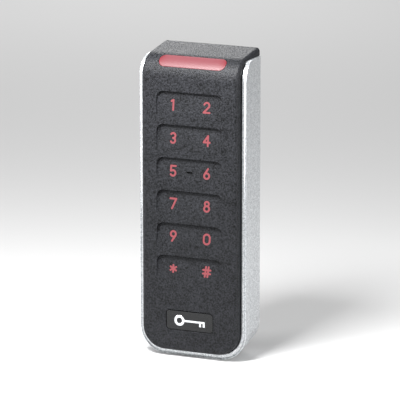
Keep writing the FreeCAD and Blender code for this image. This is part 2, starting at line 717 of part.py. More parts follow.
def cut_tray_features(body):
    """Openings in the back and bottom of the tray."""
    bay = rectangle(-sz.bay_width / 2, sz.bay_width / 2, -sz.bay_height / 2, sz.bay_height / 2)
    sink_between(body, "terminal_bay", CASE_BACK, sz.bay_floor, [bay])
    windows = [rectangle(*terminal_footprint(side, sz.terminal_window)) for side in (-1, 1)]
    sink_between(body, "terminal_windows", sz.bay_floor - BITE, BOARD_BACK, windows)
    cups = [(0, side * sz.wall_screw_spacing / 2, sz.cup_radius) for side in (-1, 1)]
    sink_between(body, "cup_bores", CASE_BACK, CASE_BACK + sz.cup_depth, circles=cups)
    heads = [(x, z, sz.case_head_radius + sz.case_head_fit) for x, z in POSTS]
    sink_between(body, "screw_head_bores", CASE_BACK, CASE_SCREW_SEAT, circles=heads)
    shanks = [(x, z, sz.case_screw_radius + sz.case_head_fit) for x, z in POSTS]
    sink_between(body, "screw_shank_bores", CASE_SCREW_SEAT, BOARD_BACK, circles=shanks)
    spot = [(-sz.window_across, -sz.window_level, sz.window_radius)]
    sink_between(body, "window_bore", CASE_BACK, CASE_INSIDE + sz.window_sleeve, circles=spot)
    slots = []
    for side in (-1, 1):
        middle = side * sz.hook_spread / 2
        reach = sz.hook_width / 2 + sz.hook_play
        low = HOOK_LEVEL - sz.plate_thick - sz.hook_swing
        slots.append(rectangle(middle - reach, middle + reach, low, HOOK_LIP))
    reach = sz.tab_width / 2 + sz.tab_play
    slots.append(rectangle(-reach, reach, TAB_BOTTOM - sz.tab_swing, TAB_TOP + sz.tab_play))
    sink_between(body, "plate_slots", CASE_BACK, CASE_INSIDE, slots)
    hole = new_sketch(body, "lock_hole_outline", "XY_Plane", CASE_BOTTOM)
    add_circle(hole, 0, -sz.lock_screw_depth, sz.lock_screw_radius + sz.case_gap)
    sink(body, "lock_hole", hole, sz.case_wall)


def housing_seal():
    """Rubber ring squeezed between the tray's rim and the cover."""
    half = COVER_HALF - sz.cover_side_wall + sz.seal_width
    low = COVER_BOTTOM + sz.cover_side_wall - sz.seal_width
    high = cover_top(sz.shelf_depth, sz.cover_top_wall)
    front = CASE_RIM + sz.seal_thick
    corner = sz.cover_corner - sz.cover_side_wall + sz.seal_width
    body = low_cornered("housing_seal", half, (low, high), (CASE_RIM, front), corner)
    levels = low + sz.seal_width, high - sz.seal_width
    depths = CASE_RIM - PAST, front + PAST
    middle = low_cornered("seal_middle", half - sz.seal_width, levels, depths, corner - sz.seal_width)
    remove(body, "seal_hole", middle)
    return body


# ---------------------------------------------------------------- light bar

def tilted(item, x, radius, along):
    """Stand a box on the top bend: radius from the bend's centre, along its curve."""
    angle = sz.lens_angle
    turn = Rotation(Vector(1, 0, 0), -angle.number)
    lean = math.radians(angle.number)
    across, up = as_size(radius), as_size(along)
    level = TOP - sz.cover_rise * BEND_DEPTH / sz.total_depth - bend_offset()
    y = -BEND_DEPTH.number - across.number * math.cos(lean) + up.number * math.sin(lean)
    z = level.number + across.number * math.sin(lean) + up.number * math.cos(lean)
    item.Placement = Placement(Vector(as_size(x).number, y, z), turn)
    cosine = "cos(%s * 1 deg)" % angle.text
    sine = "sin(%s * 1 deg)" % angle.text
    bind(item, "Placement.Base.x", x)
    depth_text = (-BEND_DEPTH).text, across.text, cosine, up.text, sine
    item.setExpression("Placement.Base.y", "%s - %s * %s + %s * %s" % depth_text)
    level_text = level.text, across.text, sine, up.text, cosine
    item.setExpression("Placement.Base.z", "%s + %s * %s + %s * %s" % level_text)
    return item


def bend_offset():
    """How far the bend's centre lies below the sloping top, measured straight down."""
    run = math.hypot(sz.cover_rise.number, sz.total_depth.number)
    rise, depth = sz.cover_rise.text, sz.total_depth.text
    text = "(%s * sqrt(%s * %s + %s * %s) / %s)"
    filled = text % (sz.cover_bend.text, rise, rise, depth, depth, depth)
    return Size(sz.cover_bend.number * run / sz.total_depth.number, filled)


def bend_block(name, length, radii, height):
    """A box that lies across the bend between two radii, centred on the light bar."""
    item = doc.addObject("Part::Box", name)
    bind(item, "Length", length)
    bind(item, "Width", as_size(radii[1]) - radii[0])
    bind(item, "Height", height)
    return tilted(item, -as_size(length) / 2, radii[1], -as_size(height) / 2)


def light_bar(shell):
    """The slot in the cover, the lens that fills it, and the lit parts behind it."""
    radial = Rotation(Vector(1, 0, 0), -sz.lens_angle.number).multVec(Y_AXIS)
    low = sz.cover_bend - sz.cover_front_wall - PAST
    high = sz.cover_bend + PAST
    slot = bend_block("light_slot_block", sz.lens_length, (low, high), sz.lens_height)
    slot_tool = soften("light_slot", slot, sz.lens_corner, radial)
    fit = sz.lens_fit * 2
    lens = bend_block("lens_block", sz.lens_length - fit, (low, high), sz.lens_height - fit)
    lens_tool = soften("lens_tool", lens, sz.lens_corner - sz.lens_fit, radial)
    label_as(overlap("lens", shell, lens_tool), "light_bar_lens")
    inner = sz.cover_bend - sz.cover_front_wall - sz.light_guide_gap
    back = inner - sz.light_guide_thick
    guide_height = sz.lens_height - sz.light_guide_rim * 2
    label_as(bend_block("guide_bar", sz.lens_length - fit, (back, inner), guide_height), "light_bar_guide")
    leds = []
    count = int(sz.bar_led_count.number)
    pitch = sz.lens_length / count
    lit = back - sz.lens_fit
    board_front = lit - sz.led_height
    for number in range(count):
        led = bend_block("bar_led_%d" % number, sz.led_length, (board_front, lit), sz.led_width)
        shift = pitch * (number - (count - 1) / 2) - sz.led_length / 2
        tilted(led, shift, lit, -sz.led_width / 2)
        leds.append(led)
    label_as(gather("bar_leds", leds), "light_bar_leds")
    board_length = sz.lens_length + sz.bar_board_tail * 2
    radii = board_front - sz.small_board, board_front
    board_height = sz.lens_height - sz.bar_board_rim * 2
    label_as(bend_block("bar_board", board_length, radii, board_height), "light_bar_board")
    return slot_tool


# ---------------------------------------------------------------- legends

def bar(start, end, tall):
    """A legend stroke with round ends between two points, drawn flat on XY."""
    radius = sz.legend_stroke.number / 2
    first = Vector(*start, 0)
    last = Vector(*end, 0)
    heading = last - first
    plank = Part.makeBox(heading.Length, radius * 2, tall, Vector(0, -radius, 0))
    plank.rotate(Vector(), Z_AXIS, math.degrees(math.atan2(heading.y, heading.x)))
    plank.translate(first)
    ends = [Part.makeCylinder(radius, tall, point) for point in (first, last)]
    return plank.multiFuse(ends)


def bow(centre, radius, angles, tall):
    """A legend stroke along an arc between two angles, anticlockwise from +X."""
    half = sz.legend_stroke.number / 2
    base = Vector(*centre, 0)
    sweep = angles[1] - angles[0]
    wide = Part.makeCylinder(radius + half, tall, base, Z_AXIS, sweep)
    ring = wide.cut(Part.makeCylinder(radius - half, tall, base))
    ring.rotate(base, Z_AXIS, angles[0])
    if sweep >= 360:
        return ring
    ends = []
    for angle in angles:
        lean = math.radians(angle)
        point = base + Vector(radius * math.cos(lean), radius * math.sin(lean), 0)
        ends.append(Part.makeCylinder(half, tall, point))
    return ring.multiFuse(ends)


def legend_strokes(sign):
    """Bars and bows of one legend, about its own centre, in millimetres."""
    wide = sz.legend_wide.number / 2
    tall = sz.legend_tall.number / 2
    bowl = tall * 0.56
    low = -tall + bowl
    half = tall / 2
    strokes = {
        "1": [("bar", (0.15, tall), (0.15, -tall)), ("bar", (0.15, tall), (-0.65, tall - 0.45))],
        "2": [("bow", (0, tall - bowl), bowl, (-30, 165)),
              ("bar", (bowl * 0.866, tall - bowl * 1.5), (-wide, -tall)),
              ("bar", (-wide, -tall), (wide, -tall))],
        "3": [("bow", (0, half), half, (-90, 150)), ("bow", (0, -half), half, (-150, 90))],
        "4": [("bar", (0.5, tall), (0.5, -tall)), ("bar", (0.5, tall), (-wide, -0.6)),
              ("bar", (-wide, -0.6), (wide, -0.6))],
        "5": [("bar", (wide - 0.2, tall), (-wide + 0.35, tall)),
              ("bar", (-wide + 0.35, tall), (-wide + 0.3, low + bowl * 0.75)),
              ("bow", (-0.05, low), bowl, (-145, 130))],
        "6": [("bow", (0, low), bowl, (0, 360)), ("bar", (-bowl, low), (-bowl + 0.1, low + 0.5)),
              ("bar", (-bowl + 0.1, low + 0.5), (0.45, tall))],
        "7": [("bar", (-wide, tall), (wide, tall)), ("bar", (wide, tall), (-0.4, -tall))],
        "8": [("bow", (0, low), bowl, (0, 360)), ("bow", (0, tall - 0.85), 0.85, (0, 360))],
        "9": [("bow", (0, -low), bowl, (0, 360)), ("bar", (bowl, -low), (bowl - 0.1, -low - 0.5)),
              ("bar", (bowl - 0.1, -low - 0.5), (-0.45, -tall))],
        "0": [("bow", (0, tall - wide), wide, (0, 180)), ("bow", (0, wide - tall), wide, (180, 360)),
              ("bar", (wide, tall - wide), (wide, wide - tall)),
              ("bar", (-wide, tall - wide), (-wide, wide - tall))],
        "*": star_strokes(1.35),
        "#": [("bar", (-0.35, tall), (-0.75, -tall)), ("bar", (0.75, tall), (0.35, -tall)),
              ("bar", (-1.5, 0.7), (1.55, 0.7)), ("bar", (-1.55, -0.7), (1.5, -0.7))],
    }
    return strokes[sign]


def star_strokes(reach):
    """Three bars that cross at the centre, as an asterisk."""
    strokes = []
    for angle in (30, 90, 150):
        lean = math.radians(angle)
        tip = reach * math.cos(lean), reach * math.sin(lean)
        strokes.append(("bar", tip, (-tip[0], -tip[1])))
    return strokes


def legend_prism(sign, x, z, depth_range):
    """One legend as a prism that runs from the first depth to the second."""
    back, front = depth_range
    shapes = []
    for kind, *values in legend_strokes(sign):
        draw = bar if kind == "bar" else bow
        shapes.append(draw(*values, front - back))
    prism = shapes[0].multiFuse(shapes[1:]).removeSplitter()
    prism.Placement = Placement(Vector(x, -back, z), Rotation(X_AXIS, 90))
    return prism


def floor_slab(row):
    """A thin slab under the ramped floor of one scoop."""
    deep = sz.total_depth.number - sz.scoop_depth.number
    sunk = sz.legend_sink.number
    top = FIRST_SCOOP.number - sz.row_pitch.number * row
    low = top - sz.scoop_height.number
    front = sz.total_depth.number
    half = sz.scoop_width.number / 2
    outline = [(deep, top), (front, low), (front - sunk, low), (deep - sunk, top), (deep, top)]
    wire = Part.makePolygon([Vector(-half, -depth, level) for depth, level in outline])
    return Part.Face(wire).extrude(Vector(half * 2, 0, 0))


def key_legends():
    """Twelve light-coloured legends let into the scoop floors."""
    signs = ["12", "34", "56", "78", "90", "*#"]
    depth_range = COVER_INSIDE.number, sz.total_depth.number + PAST
    spread = sz.legend_spread.number / 2
    solids = []
    for row, pair in enumerate(signs[:int(sz.key_rows.number)]):
        slab = floor_slab(row)
        level = FIRST_SCOOP.number - sz.row_pitch.number * row - sz.legend_drop.number
        for sign, x in zip(pair, (-spread, spread)):
            solids += legend_prism(sign, x, level, depth_range).common(slab).Solids
    return raw("legends", Part.makeCompound(solids))


# ---------------------------------------------------------------- badge

def badge():
    """Dark badge in its recess, with a raised chrome key sign."""
    back = sz.total_depth - sz.badge_sink - sz.badge_thick
    front = sz.total_depth - sz.badge_sink
    half = sz.badge_width / 2
    low = BADGE_LEVEL - sz.badge_height / 2
    high = BADGE_LEVEL + sz.badge_height / 2
    tile = block("badge_tile", (-half, half), (back, front), (low, high))
    label_as(soften("badge", tile, sz.badge_corner, Y_AXIS), "badge_plate")
    bow_x = -sz.emblem_length / 2 + sz.emblem_bow
    end = sz.emblem_length / 2
    level = BADGE_LEVEL
    span = front, front + sz.emblem_rise
    disc = rod("emblem_disc", sz.emblem_bow, bow_x, level, span)
    shaft = block("emblem_shaft", (bow_x, end), span, (level - sz.emblem_bar / 2, level + sz.emblem_bar / 2))
    teeth = []
    for number in range(2):
        right = end - sz.emblem_tooth_pitch * number
        teeth.append(block("emblem_tooth_%d" % number, (right - sz.emblem_bar, right), span,
                           (level - sz.emblem_tooth, level)))
    key = join("emblem_solid", [disc, shaft] + teeth)
    hole = rod("emblem_hole", sz.emblem_hole, bow_x, level, (front - PAST, front + PAST))
    label_as(carve("emblem", key, [hole]), "key_emblem")


# ---------------------------------------------------------------- boards and what they carry

def main_board():
    """Board behind the antenna, held between the tray's posts and the cover's bosses."""
    half = CASE_HALF - sz.case_wall - sz.board_side_gap
    levels = BOTTOM + sz.board_low_rise, TOP - sz.board_top_drop
    board = block("main_blank", (-half, half), (BOARD_BACK, BOARD_FRONT), levels)
    hole = sz.case_screw_radius + sz.case_head_fit
    span = BOARD_BACK - PAST, BOARD_FRONT + PAST
    holes = [rod("main_hole_%d" % number, hole, x, z, span) for number, (x, z) in enumerate(POSTS)]
    label_as(carve("main_pcb", board, holes), "main_board")


def chip(label, x, low, side, high):
    """A square block on the front of the main board, about x and up from a low edge."""
    half = side / 2
    across, levels = (x - half, x + half), (low, low + side)
    label_as(block(label + "_block", across, (BOARD_FRONT, BOARD_FRONT + high), levels), label)


def board_parts():
    """Shield, processor, sounder, small parts and the link to the keypad board."""
    chip("radio_shield", -sz.shield_across, CHIP_HIGH + sz.shield_gap, sz.shield_size, sz.shield_tall)
    chip("processor_chip", sz.chip_across, CHIP_LOW, sz.chip_size, sz.chip_tall)
    face = BOARD_FRONT + sz.sounder_tall
    sounder = rod("sounder_can", sz.sounder_radius, 0, SOUNDER_LEVEL, (BOARD_FRONT, face))
    hole_span = face - sz.sound_hole_depth, face + PAST
    sound_hole = rod("sounder_hole", sz.sound_hole, 0, SOUNDER_LEVEL, hole_span)
    label_as(carve("sounder_cut", sounder, [sound_hole]), "sounder")
    link_connector()
    small_parts()


def link_connector():
    """Socket on the main board and header on the keypad board, plugged together."""
    half = sz.link_length / 2
    levels = LINK_LOW, LINK_HIGH
    joint = BOARD_FRONT + sz.link_socket_tall
    label_as(block("link_low", (-half, half), (BOARD_FRONT, joint), levels), "board_link_socket")
    label_as(block("link_high", (-half, half), (joint, KEYPAD_BACK), levels), "board_link_header")


def small_parts():
    """Rows of small parts beside the shield."""
    small = []
    span = BOARD_FRONT, BOARD_FRONT + sz.small_tall
    for column in range(int(sz.small_columns.number)):
        for row in range(int(sz.small_rows.number)):
            x = sz.small_across - sz.small_step_x * row
            z = CHIP_HIGH + sz.small_gap + sz.small_step_z * column
            name = "small_part_%d_%d" % (column, row)
            small.append(block(name, (x, x + sz.small_wide), span, (z, z + sz.small_long)))
    label_as(gather("small_part_group", small), "surface_parts")


def terminal_footprint(side, room=0):
    """Left, right, low and high edges of one terminal block."""
    half = sz.terminal_pitch * sz.terminal_count / 2 + room
    level = side * sz.terminal_level
    tall = sz.terminal_tall / 2 + room
    return -half, half, level - tall, level + tall


def terminal_blocks():
    """Two rows of screw terminals that show in the bay at the back."""
    screws = []
    cages = []
    for side, label in ((1, "terminal_block_upper"), (-1, "terminal_block_lower")):
        left, right, low, high = terminal_footprint(side)
        blank = block(label + "_blank", (left, right), (sz.terminal_stand, BOARD_BACK), (low, high))
        tools = []
        for number in range(int(sz.terminal_count.number)):
            x = left + sz.terminal_pitch * (number + 0.5)
            name = "%s_%d" % (label, number)
            tools += terminal_cuts(name, side, x, low, high)
            screws.append(terminal_screw(name, side, x))
            cages.append(terminal_cage(name, side, x, low, high))
        label_as(carve(label + "_cut", blank, tools), label)
    label_as(gather("terminal_screw_group", screws), "terminal_screws")
    label_as(gather("terminal_cage_group", cages), "terminal_cages")


def terminal_screw_level(side):
    """Level of a row's clamp screws, set back from the wire entries."""
    return side * (sz.terminal_level + sz.terminal_screw_shift)


def wire_span(side, low, high):
    """Levels of a wire entry, which opens towards the middle of the bay."""
    if side > 0:
        return low - PAST, low + sz.wire_reach
    return high - sz.wire_reach, high + PAST


def terminal_cuts(name, side, x, low, high):
    """Screw well and wire entry of one terminal."""
    level = terminal_screw_level(side)
    well_span = sz.terminal_stand - PAST, terminal_screw_span()[1] + BITE
    well = rod(name + "_well", sz.terminal_screw + sz.terminal_well_room, x, level, well_span)
    half = sz.wire_entry / 2
    entry_span = sz.wire_depth, sz.wire_depth + sz.wire_entry
    entry = block(name + "_entry", (x - half, x + half), entry_span, wire_span(side, low, high))
    return [well, entry]


def terminal_screw_span():
    """Depths of a clamp screw's head and tip."""
    head = sz.terminal_stand + sz.terminal_screw_inset
    return head, head + sz.terminal_screw_tall


def terminal_screw(name, side, x):
    """Slotted clamp screw, seen from the back."""
    level = terminal_screw_level(side)
    face, tip = terminal_screw_span()
    head = rod(name + "_head", sz.terminal_screw, x, level, (face, tip))
    half = sz.terminal_slot_width / 2
    reach = sz.terminal_screw + PAST
    slot_span = face - PAST, face + sz.terminal_slot_depth
    slot = block(name + "_slot", (x - half, x + half), slot_span, (level - reach, level + reach))
    return carve(name + "_screw", head, [slot])


def terminal_cage(name, side, x, low, high):
    """Metal clamp plate on the floor of a wire entry."""
    half = sz.wire_entry / 2
    bottom, top = wire_span(side, low, high)
    inset = sz.cage_inset + PAST
    inner = (bottom + inset, top) if side > 0 else (bottom, top - inset)
    floor = sz.wire_depth + sz.wire_entry
    return block(name + "_cage", (x - half, x + half), (floor - sz.cage_thick, floor), inner)


def keypad_stack():
    """Touch board, its lights, the light guide, the antenna and its ferrite."""
    half = KEYPAD_HALF
    levels = KEYPAD_BOTTOM, KEYPAD_TOP
    board = block("keypad_blank", (-half, half), (KEYPAD_BACK, KEYPAD_FRONT), levels)
    label_as(carve("keypad_pcb", board, peg_holes("keypad", KEYPAD_BACK, KEYPAD_FRONT)), "keypad_board")
    guide = block("guide_blank", (-half, half), (GUIDE_BACK, GUIDE_FRONT), (GUIDE_BOTTOM, KEYPAD_TOP))
    leds = []
    wells = []
    for row in range(int(sz.key_rows.number)):
        level = FIRST_SCOOP - sz.row_pitch * row - sz.legend_drop
        for side in (-1, 1):
            name = "key_led_%d_%d" % (row, side + 1)
            x = side * sz.legend_spread / 2
            leds.append(led_block(name, x, level, as_size(0)))
            wells.append(led_block(name + "_well", x, level, sz.led_room))
    label_as(gather("key_leds", leds), "keypad_leds")
    tools = wells + peg_holes("guide", GUIDE_BACK, GUIDE_FRONT)
    label_as(carve("key_guide", guide, tools), "keypad_light_guide")
    label_as(antenna_coil(), "antenna_coil")
    ferrite_front = COIL_BACK - sz.ferrite_gap
    edge = sz.coil_inset + sz.coil_width
    sheet = block("ferrite_blank", (-half + edge, half - edge),
                  (ferrite_front - sz.ferrite_thick, ferrite_front),
                  (GUIDE_BOTTOM + sz.ferrite_inset, KEYPAD_TOP - sz.ferrite_inset))
    holes = peg_holes("ferrite", COIL_BACK - PAST, KEYPAD_BACK)
    label_as(carve("ferrite_cut", sheet, holes), "ferrite_sheet")


def led_block(name, x, level, room):
    """One light on the touch board, or the pocket that clears it all round by some room."""
    wide = sz.led_length / 2 + room
    tall = sz.led_width / 2 + room
    front = KEYPAD_FRONT + sz.led_height + room
    return block(name, (x - wide, x + wide), (KEYPAD_FRONT, front), (level - tall, level + tall))


def peg_holes(name, back, front):
    """Holes that pass the cover's pegs."""
    radius = sz.peg_radius + sz.peg_fit
    span = back - PAST, front + PAST
    return [rod("%s_peg_hole_%d" % (name, number), radius, x, z, span) for number, (x, z) in enumerate(PEGS)]


def antenna_coil():
    """Flat rectangular coil on the back of the touch board."""
    half = KEYPAD_HALF - sz.coil_inset
    high = KEYPAD_TOP - sz.coil_inset
    low = GUIDE_BOTTOM + sz.coil_inset
    outer = block("coil_outer", (-half, half), (COIL_BACK, KEYPAD_BACK), (low, high))
    wide = sz.coil_width
    inner = block("coil_inner", (wide - half, half - wide), (COIL_BACK - PAST, KEYPAD_BACK + PAST),
                  (low + wide, high - wide))
    rounded = soften("coil_outer_round", outer, sz.coil_corner, Y_AXIS)
    hole = soften("coil_inner_round", inner, sz.coil_corner - sz.coil_width / 2, Y_AXIS)
    return carve("coil", rounded, [hole])


def tamper_sensor():
    """Optical sensor on the board's back and the clear window it looks through."""
    x = -sz.window_across
    z = -sz.window_level
    half = sz.sensor_size / 2
    span = BOARD_BACK - sz.sensor_tall, BOARD_BACK
    body = block("sensor_block", (x - half, x + half), span, (z - half, z + half))
    label_as(body, "tamper_sensor")
    pane = rod("window_pane", sz.window_radius, x, z, (CASE_BACK, CASE_INSIDE + sz.pane_proud))
    label_as(pane, "tamper_window")


# ---------------------------------------------------------------- fasteners

def case_screws():
    """Four screws that clamp the tray and the main board to the cover."""
    seat = CASE_SCREW_SEAT
    screws = []
    for number, (x, z) in enumerate(POSTS):
        name = "case_screw_%d" % number
        head = rod(name + "_head", sz.case_head_radius, x, z, (seat - sz.case_head_tall, seat))
        shank = rod(name + "_shank", sz.case_screw_radius, x, z, (seat, seat + sz.case_screw_length))
        solid = join(name + "_solid", [head, shank])
        slots = cross_slots(name, x, z, seat - sz.case_head_tall)
        screws.append(carve(name, solid, slots))
    label_as(gather("case_screw_group", screws), "case_screws")


def cross_slots(name, x, z, face):
    """The two slots of a cross drive, cut into a face that looks at the wall."""
    span = face - PAST, face + sz.cross_depth
    reach, half = sz.cross_reach, sz.cross_width / 2
    flat = block(name + "_slot_x", (x - reach, x + reach), span, (z - half, z + half))
    tall = block(name + "_slot_z", (x - half, x + half), span, (z - reach, z + reach))
    return [join(name + "_cross", [flat, tall])]


def security_screw():
    """Captive screw that is driven up into the plate's tapped tab."""
    drop = sz.lock_travel + sz.washer_play
    head_top = CASE_BOTTOM - drop
    depth = sz.lock_screw_depth
    shank = upright("lock_shank", sz.lock_screw_radius, 0, depth, (head_top, LOCK_TIP))
    head = upright("lock_head", sz.lock_head_radius, 0, depth, (head_top - sz.lock_head_tall, head_top))
    solid = join("lock_solid", [shank, head])
    face = head_top - sz.lock_head_tall
    tool = doc.addObject("Part::Prism", "lock_socket")
    tool.Polygon = 6
    bind(tool, "Circumradius", sz.lock_socket)
    bind(tool, "Height", sz.lock_socket_depth + PAST)
    place(tool, 0, depth, face - PAST)
    pin = upright("lock_socket_pin", sz.lock_pin, 0, depth, (face - PAST, face + sz.lock_socket_depth))
    drive = carve("lock_drive", tool, [pin])
    label_as(carve("lock_screw", solid, [drive]), "security_screw")
    low = CASE_BOTTOM + sz.case_wall + sz.washer_play
    disc = upright("washer_disc", sz.washer_radius, 0, depth, (low, low + sz.washer_thick))
    hole = upright("washer_hole", sz.lock_screw_radius + sz.lock_screw_fit, 0, depth,
                   (low - PAST, low + PAST))
    label_as(carve("washer", disc, [hole]), "captive_washer")


# ---------------------------------------------------------------- whole reader

PIECES = []


def label_as(item, label):
    """Give a finished piece the name of its file and keep it for export."""
    item.Label = label
    PIECES.append(item)
    return item


def front_cover():
    """Cover with its light slot and legend pockets."""
    shell = cover_shell()
    doc.recompute()
    slot = light_bar(shell)
    legends = label_as(key_legends(), "key_legends")
    label_as(carve("cover", shell, [slot, legends]), "front_cover")


def build():
    """Make every piece."""
    label_as(mounting_plate(), "mounting_plate")
    label_as(trim_frame(), "trim_frame")
    front_cover()
    badge()
    label_as(rear_housing(), "rear_housing")
    label_as(housing_seal(), "housing_seal")
    main_board()
    board_parts()
    terminal_blocks()
    keypad_stack()
    tamper_sensor()
    case_screws()
    security_screw()
    doc.recompute()


def check_document():
    """Stop if any object failed to build."""
    for item in doc.Objects:
        if "Invalid" in item.State or "Error" in item.State:
            raise RuntimeError("object failed: %s %s" % (item.Name, item.getStatusString()))
        shape = getattr(item, "Shape", None)
        if item in PIECES and (shape is None or shape.isNull() or not shape.isValid()):
            raise RuntimeError("bad shape: " + item.Label)


def export_pieces():
    """Write one STEP file for each piece."""
    os.makedirs("parts", exist_ok=True)
    for item in PIECES:
        box = item.Shape.BoundBox
        item.Shape.exportStep("parts/%s.step" % item.Label)
        solids = len(item.Shape.Solids)
        size = box.XLength, box.YLength, box.ZLength
        print("%-22s %2d solids  %6.1f x %5.1f x %6.1f mm" % (item.Label, solids, *size))


build()
check_document()
export_pieces()
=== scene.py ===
"""Looks of a slim keypad card reader for a door mullion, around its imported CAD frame.

Lengths are in metres unless a name says mm. +X is right as seen from the front, the front faces -Y,
the wall is the plane y = 0 and +Z is up.
"""
import logging
import math
from dataclasses import dataclass, field
from enum import Enum

import bmesh
import bpy
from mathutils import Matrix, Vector


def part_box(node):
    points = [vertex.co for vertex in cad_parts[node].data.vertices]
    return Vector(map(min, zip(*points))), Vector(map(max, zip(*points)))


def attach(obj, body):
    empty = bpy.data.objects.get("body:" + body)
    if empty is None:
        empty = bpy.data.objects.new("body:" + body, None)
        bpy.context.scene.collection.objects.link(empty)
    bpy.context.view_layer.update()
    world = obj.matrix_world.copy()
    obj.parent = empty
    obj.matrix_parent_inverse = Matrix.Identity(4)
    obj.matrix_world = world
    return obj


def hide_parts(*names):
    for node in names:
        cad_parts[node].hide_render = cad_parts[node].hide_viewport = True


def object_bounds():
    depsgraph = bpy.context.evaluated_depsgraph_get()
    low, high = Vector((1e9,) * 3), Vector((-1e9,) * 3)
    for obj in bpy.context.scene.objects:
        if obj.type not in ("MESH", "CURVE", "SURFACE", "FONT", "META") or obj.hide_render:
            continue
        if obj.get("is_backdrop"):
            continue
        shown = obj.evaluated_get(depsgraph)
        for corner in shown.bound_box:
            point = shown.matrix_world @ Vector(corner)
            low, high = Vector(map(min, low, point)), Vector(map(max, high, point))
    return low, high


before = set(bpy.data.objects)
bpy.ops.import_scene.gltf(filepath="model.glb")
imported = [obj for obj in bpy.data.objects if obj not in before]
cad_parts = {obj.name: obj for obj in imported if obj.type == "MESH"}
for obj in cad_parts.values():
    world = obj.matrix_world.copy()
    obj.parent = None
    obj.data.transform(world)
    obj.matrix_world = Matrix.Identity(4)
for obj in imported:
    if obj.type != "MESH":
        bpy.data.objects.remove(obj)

MM = 0.001
WELD = 0.000001
FLAT_WITHIN = math.radians(0.4)
QUARTER_TURN = math.radians(90)
# Nearly all of a noise texture's values lie between these two.
NOISE_LOW, NOISE_HIGH = 0.3, 0.7

log = logging.getLogger("card_reader")


class Body(Enum):
    """The bodies that pieces ride on."""

    WALL_PLATE = "wall_plate"
    READER = "reader"
    LOCK_CARRIER = "lock_carrier"
    LOCK_SCREW = "lock_screw"


# ---------------------------------------------------------------- small tools

def linear(code: str) -> tuple[float, float, float, float]:
    """Turn an sRGB hex value into linear light.

    Args:
        code: Six hex digits, with or without a leading hash.

    Returns:
        Linear red, green, blue and an alpha of 1.
    """
    digits = code.lstrip("#")
    channels = [int(digits[i:i + 2], 16) / 255 for i in (0, 2, 4)]
    bright = [c / 12.92 if c <= 0.04045 else ((c + 0.055) / 1.055) ** 2.4 for c in channels]
    return (*bright, 1.0)


def per_metre(size_mm: float) -> float:
    """Give the texture scale whose features are size_mm across."""
    return 1 / (size_mm * MM)


def add_node(tree: bpy.types.NodeTree, kind: str, inputs: dict | None = None,
             **settings) -> bpy.types.Node:
    """Add one node to a tree, with its settings, its values and its links.

    Args:
        tree: The shader or geometry tree.
        kind: Blender's type name of the node.
        inputs: Value or output socket for each input, by name or by number.
        **settings: The node's own properties.

    Returns:
        The new node.
    """
    node = tree.nodes.new(kind)
    for name, value in settings.items():
        setattr(node, name, value)
    for key, value in (inputs or {}).items():
        socket = node.inputs[key]
        if isinstance(value, bpy.types.NodeSocket):
            tree.links.new(value, socket)
        else:
            socket.default_value = value
    return node


def new_material(name: str) -> bpy.types.Material:
    """Make an empty node material of that name."""
    material = bpy.data.materials.new(name)
    material.use_nodes = True
    material.node_tree.nodes.clear()
    return material


def surface(material: bpy.types.Material, inputs: dict) -> bpy.types.Material:
    """Close a material with a Principled shader.

    Args:
        material: The material whose tree is complete but for its shader.
        inputs: Values and links of the shader's sockets.

    Returns:
        The same material.
    """
    tree = material.node_tree
    shader = add_node(tree, "ShaderNodeBsdfPrincipled", inputs)
    add_node(tree, "ShaderNodeOutputMaterial", {"Surface": shader.outputs["BSDF"]})
    return material


# ---------------------------------------------------------------- finishes

@dataclass(frozen=True)
class MouldedPlastic:
    """Injection-moulded plastic whose tool was spark eroded.

    The eroded tool leaves a fine, even grain of shallow pits, so the surface shows a soft, broken
    highlight with a sparkle of lighter and darker specks.
    """

    name: str
    colour: str
    pit_colour: str
    roughness: float = 0.5
    grain_mm: float = 0.45
    relief_mm: float = 0.03
    specular: float = 0.5
    coat: float = 0.0
    cloud_ratio: float = 9.0
    cloud_share: float = 0.2
    pit_level: float = 0.42
    peak_level: float = 0.78
    smoother: float = 0.06
    rougher: float = 0.08

    def material(self) -> bpy.types.Material:
        """Build the material from fine pits and a faint cloud that is cloud_ratio times as coarse."""
        material = new_material(self.name)
        tree = material.node_tree
        place = add_node(tree, "ShaderNodeTexCoord").outputs["Object"]
        fine = add_node(tree, "ShaderNodeTexNoise", {
            "Vector": place, "Scale": per_metre(self.grain_mm), "Detail": 2.0, "Roughness": 0.6})
        cloud = add_node(tree, "ShaderNodeTexNoise", {
            "Vector": place, "Scale": per_metre(self.grain_mm * self.cloud_ratio), "Detail": 3.0})
        blend = add_node(tree, "ShaderNodeMath", {
            0: cloud.outputs["Fac"], 1: self.cloud_share, 2: fine.outputs["Fac"]},
            operation="MULTIPLY_ADD")
        ramp = add_node(tree, "ShaderNodeValToRGB", {"Fac": blend.outputs[0]})
        ramp.color_ramp.elements[0].position = self.pit_level
        ramp.color_ramp.elements[0].color = linear(self.pit_colour)
        ramp.color_ramp.elements[1].position = self.peak_level
        ramp.color_ramp.elements[1].color = linear(self.colour)
        sheen = add_node(tree, "ShaderNodeMapRange", {
            "Value": fine.outputs["Fac"], "From Min": NOISE_LOW, "From Max": NOISE_HIGH,
            "To Min": self.roughness - self.smoother, "To Max": self.roughness + self.rougher})
        bump = add_node(tree, "ShaderNodeBump", {
            "Strength": 1.0, "Distance": self.relief_mm * MM, "Height": fine.outputs["Fac"]})
        return surface(material, {
            "Base Color": ramp.outputs["Color"], "Roughness": sheen.outputs["Result"],
            "Normal": bump.outputs["Normal"], "Specular IOR Level": self.specular,
            "IOR": 1.53, "Coat Weight": self.coat, "Coat Roughness": 0.04})


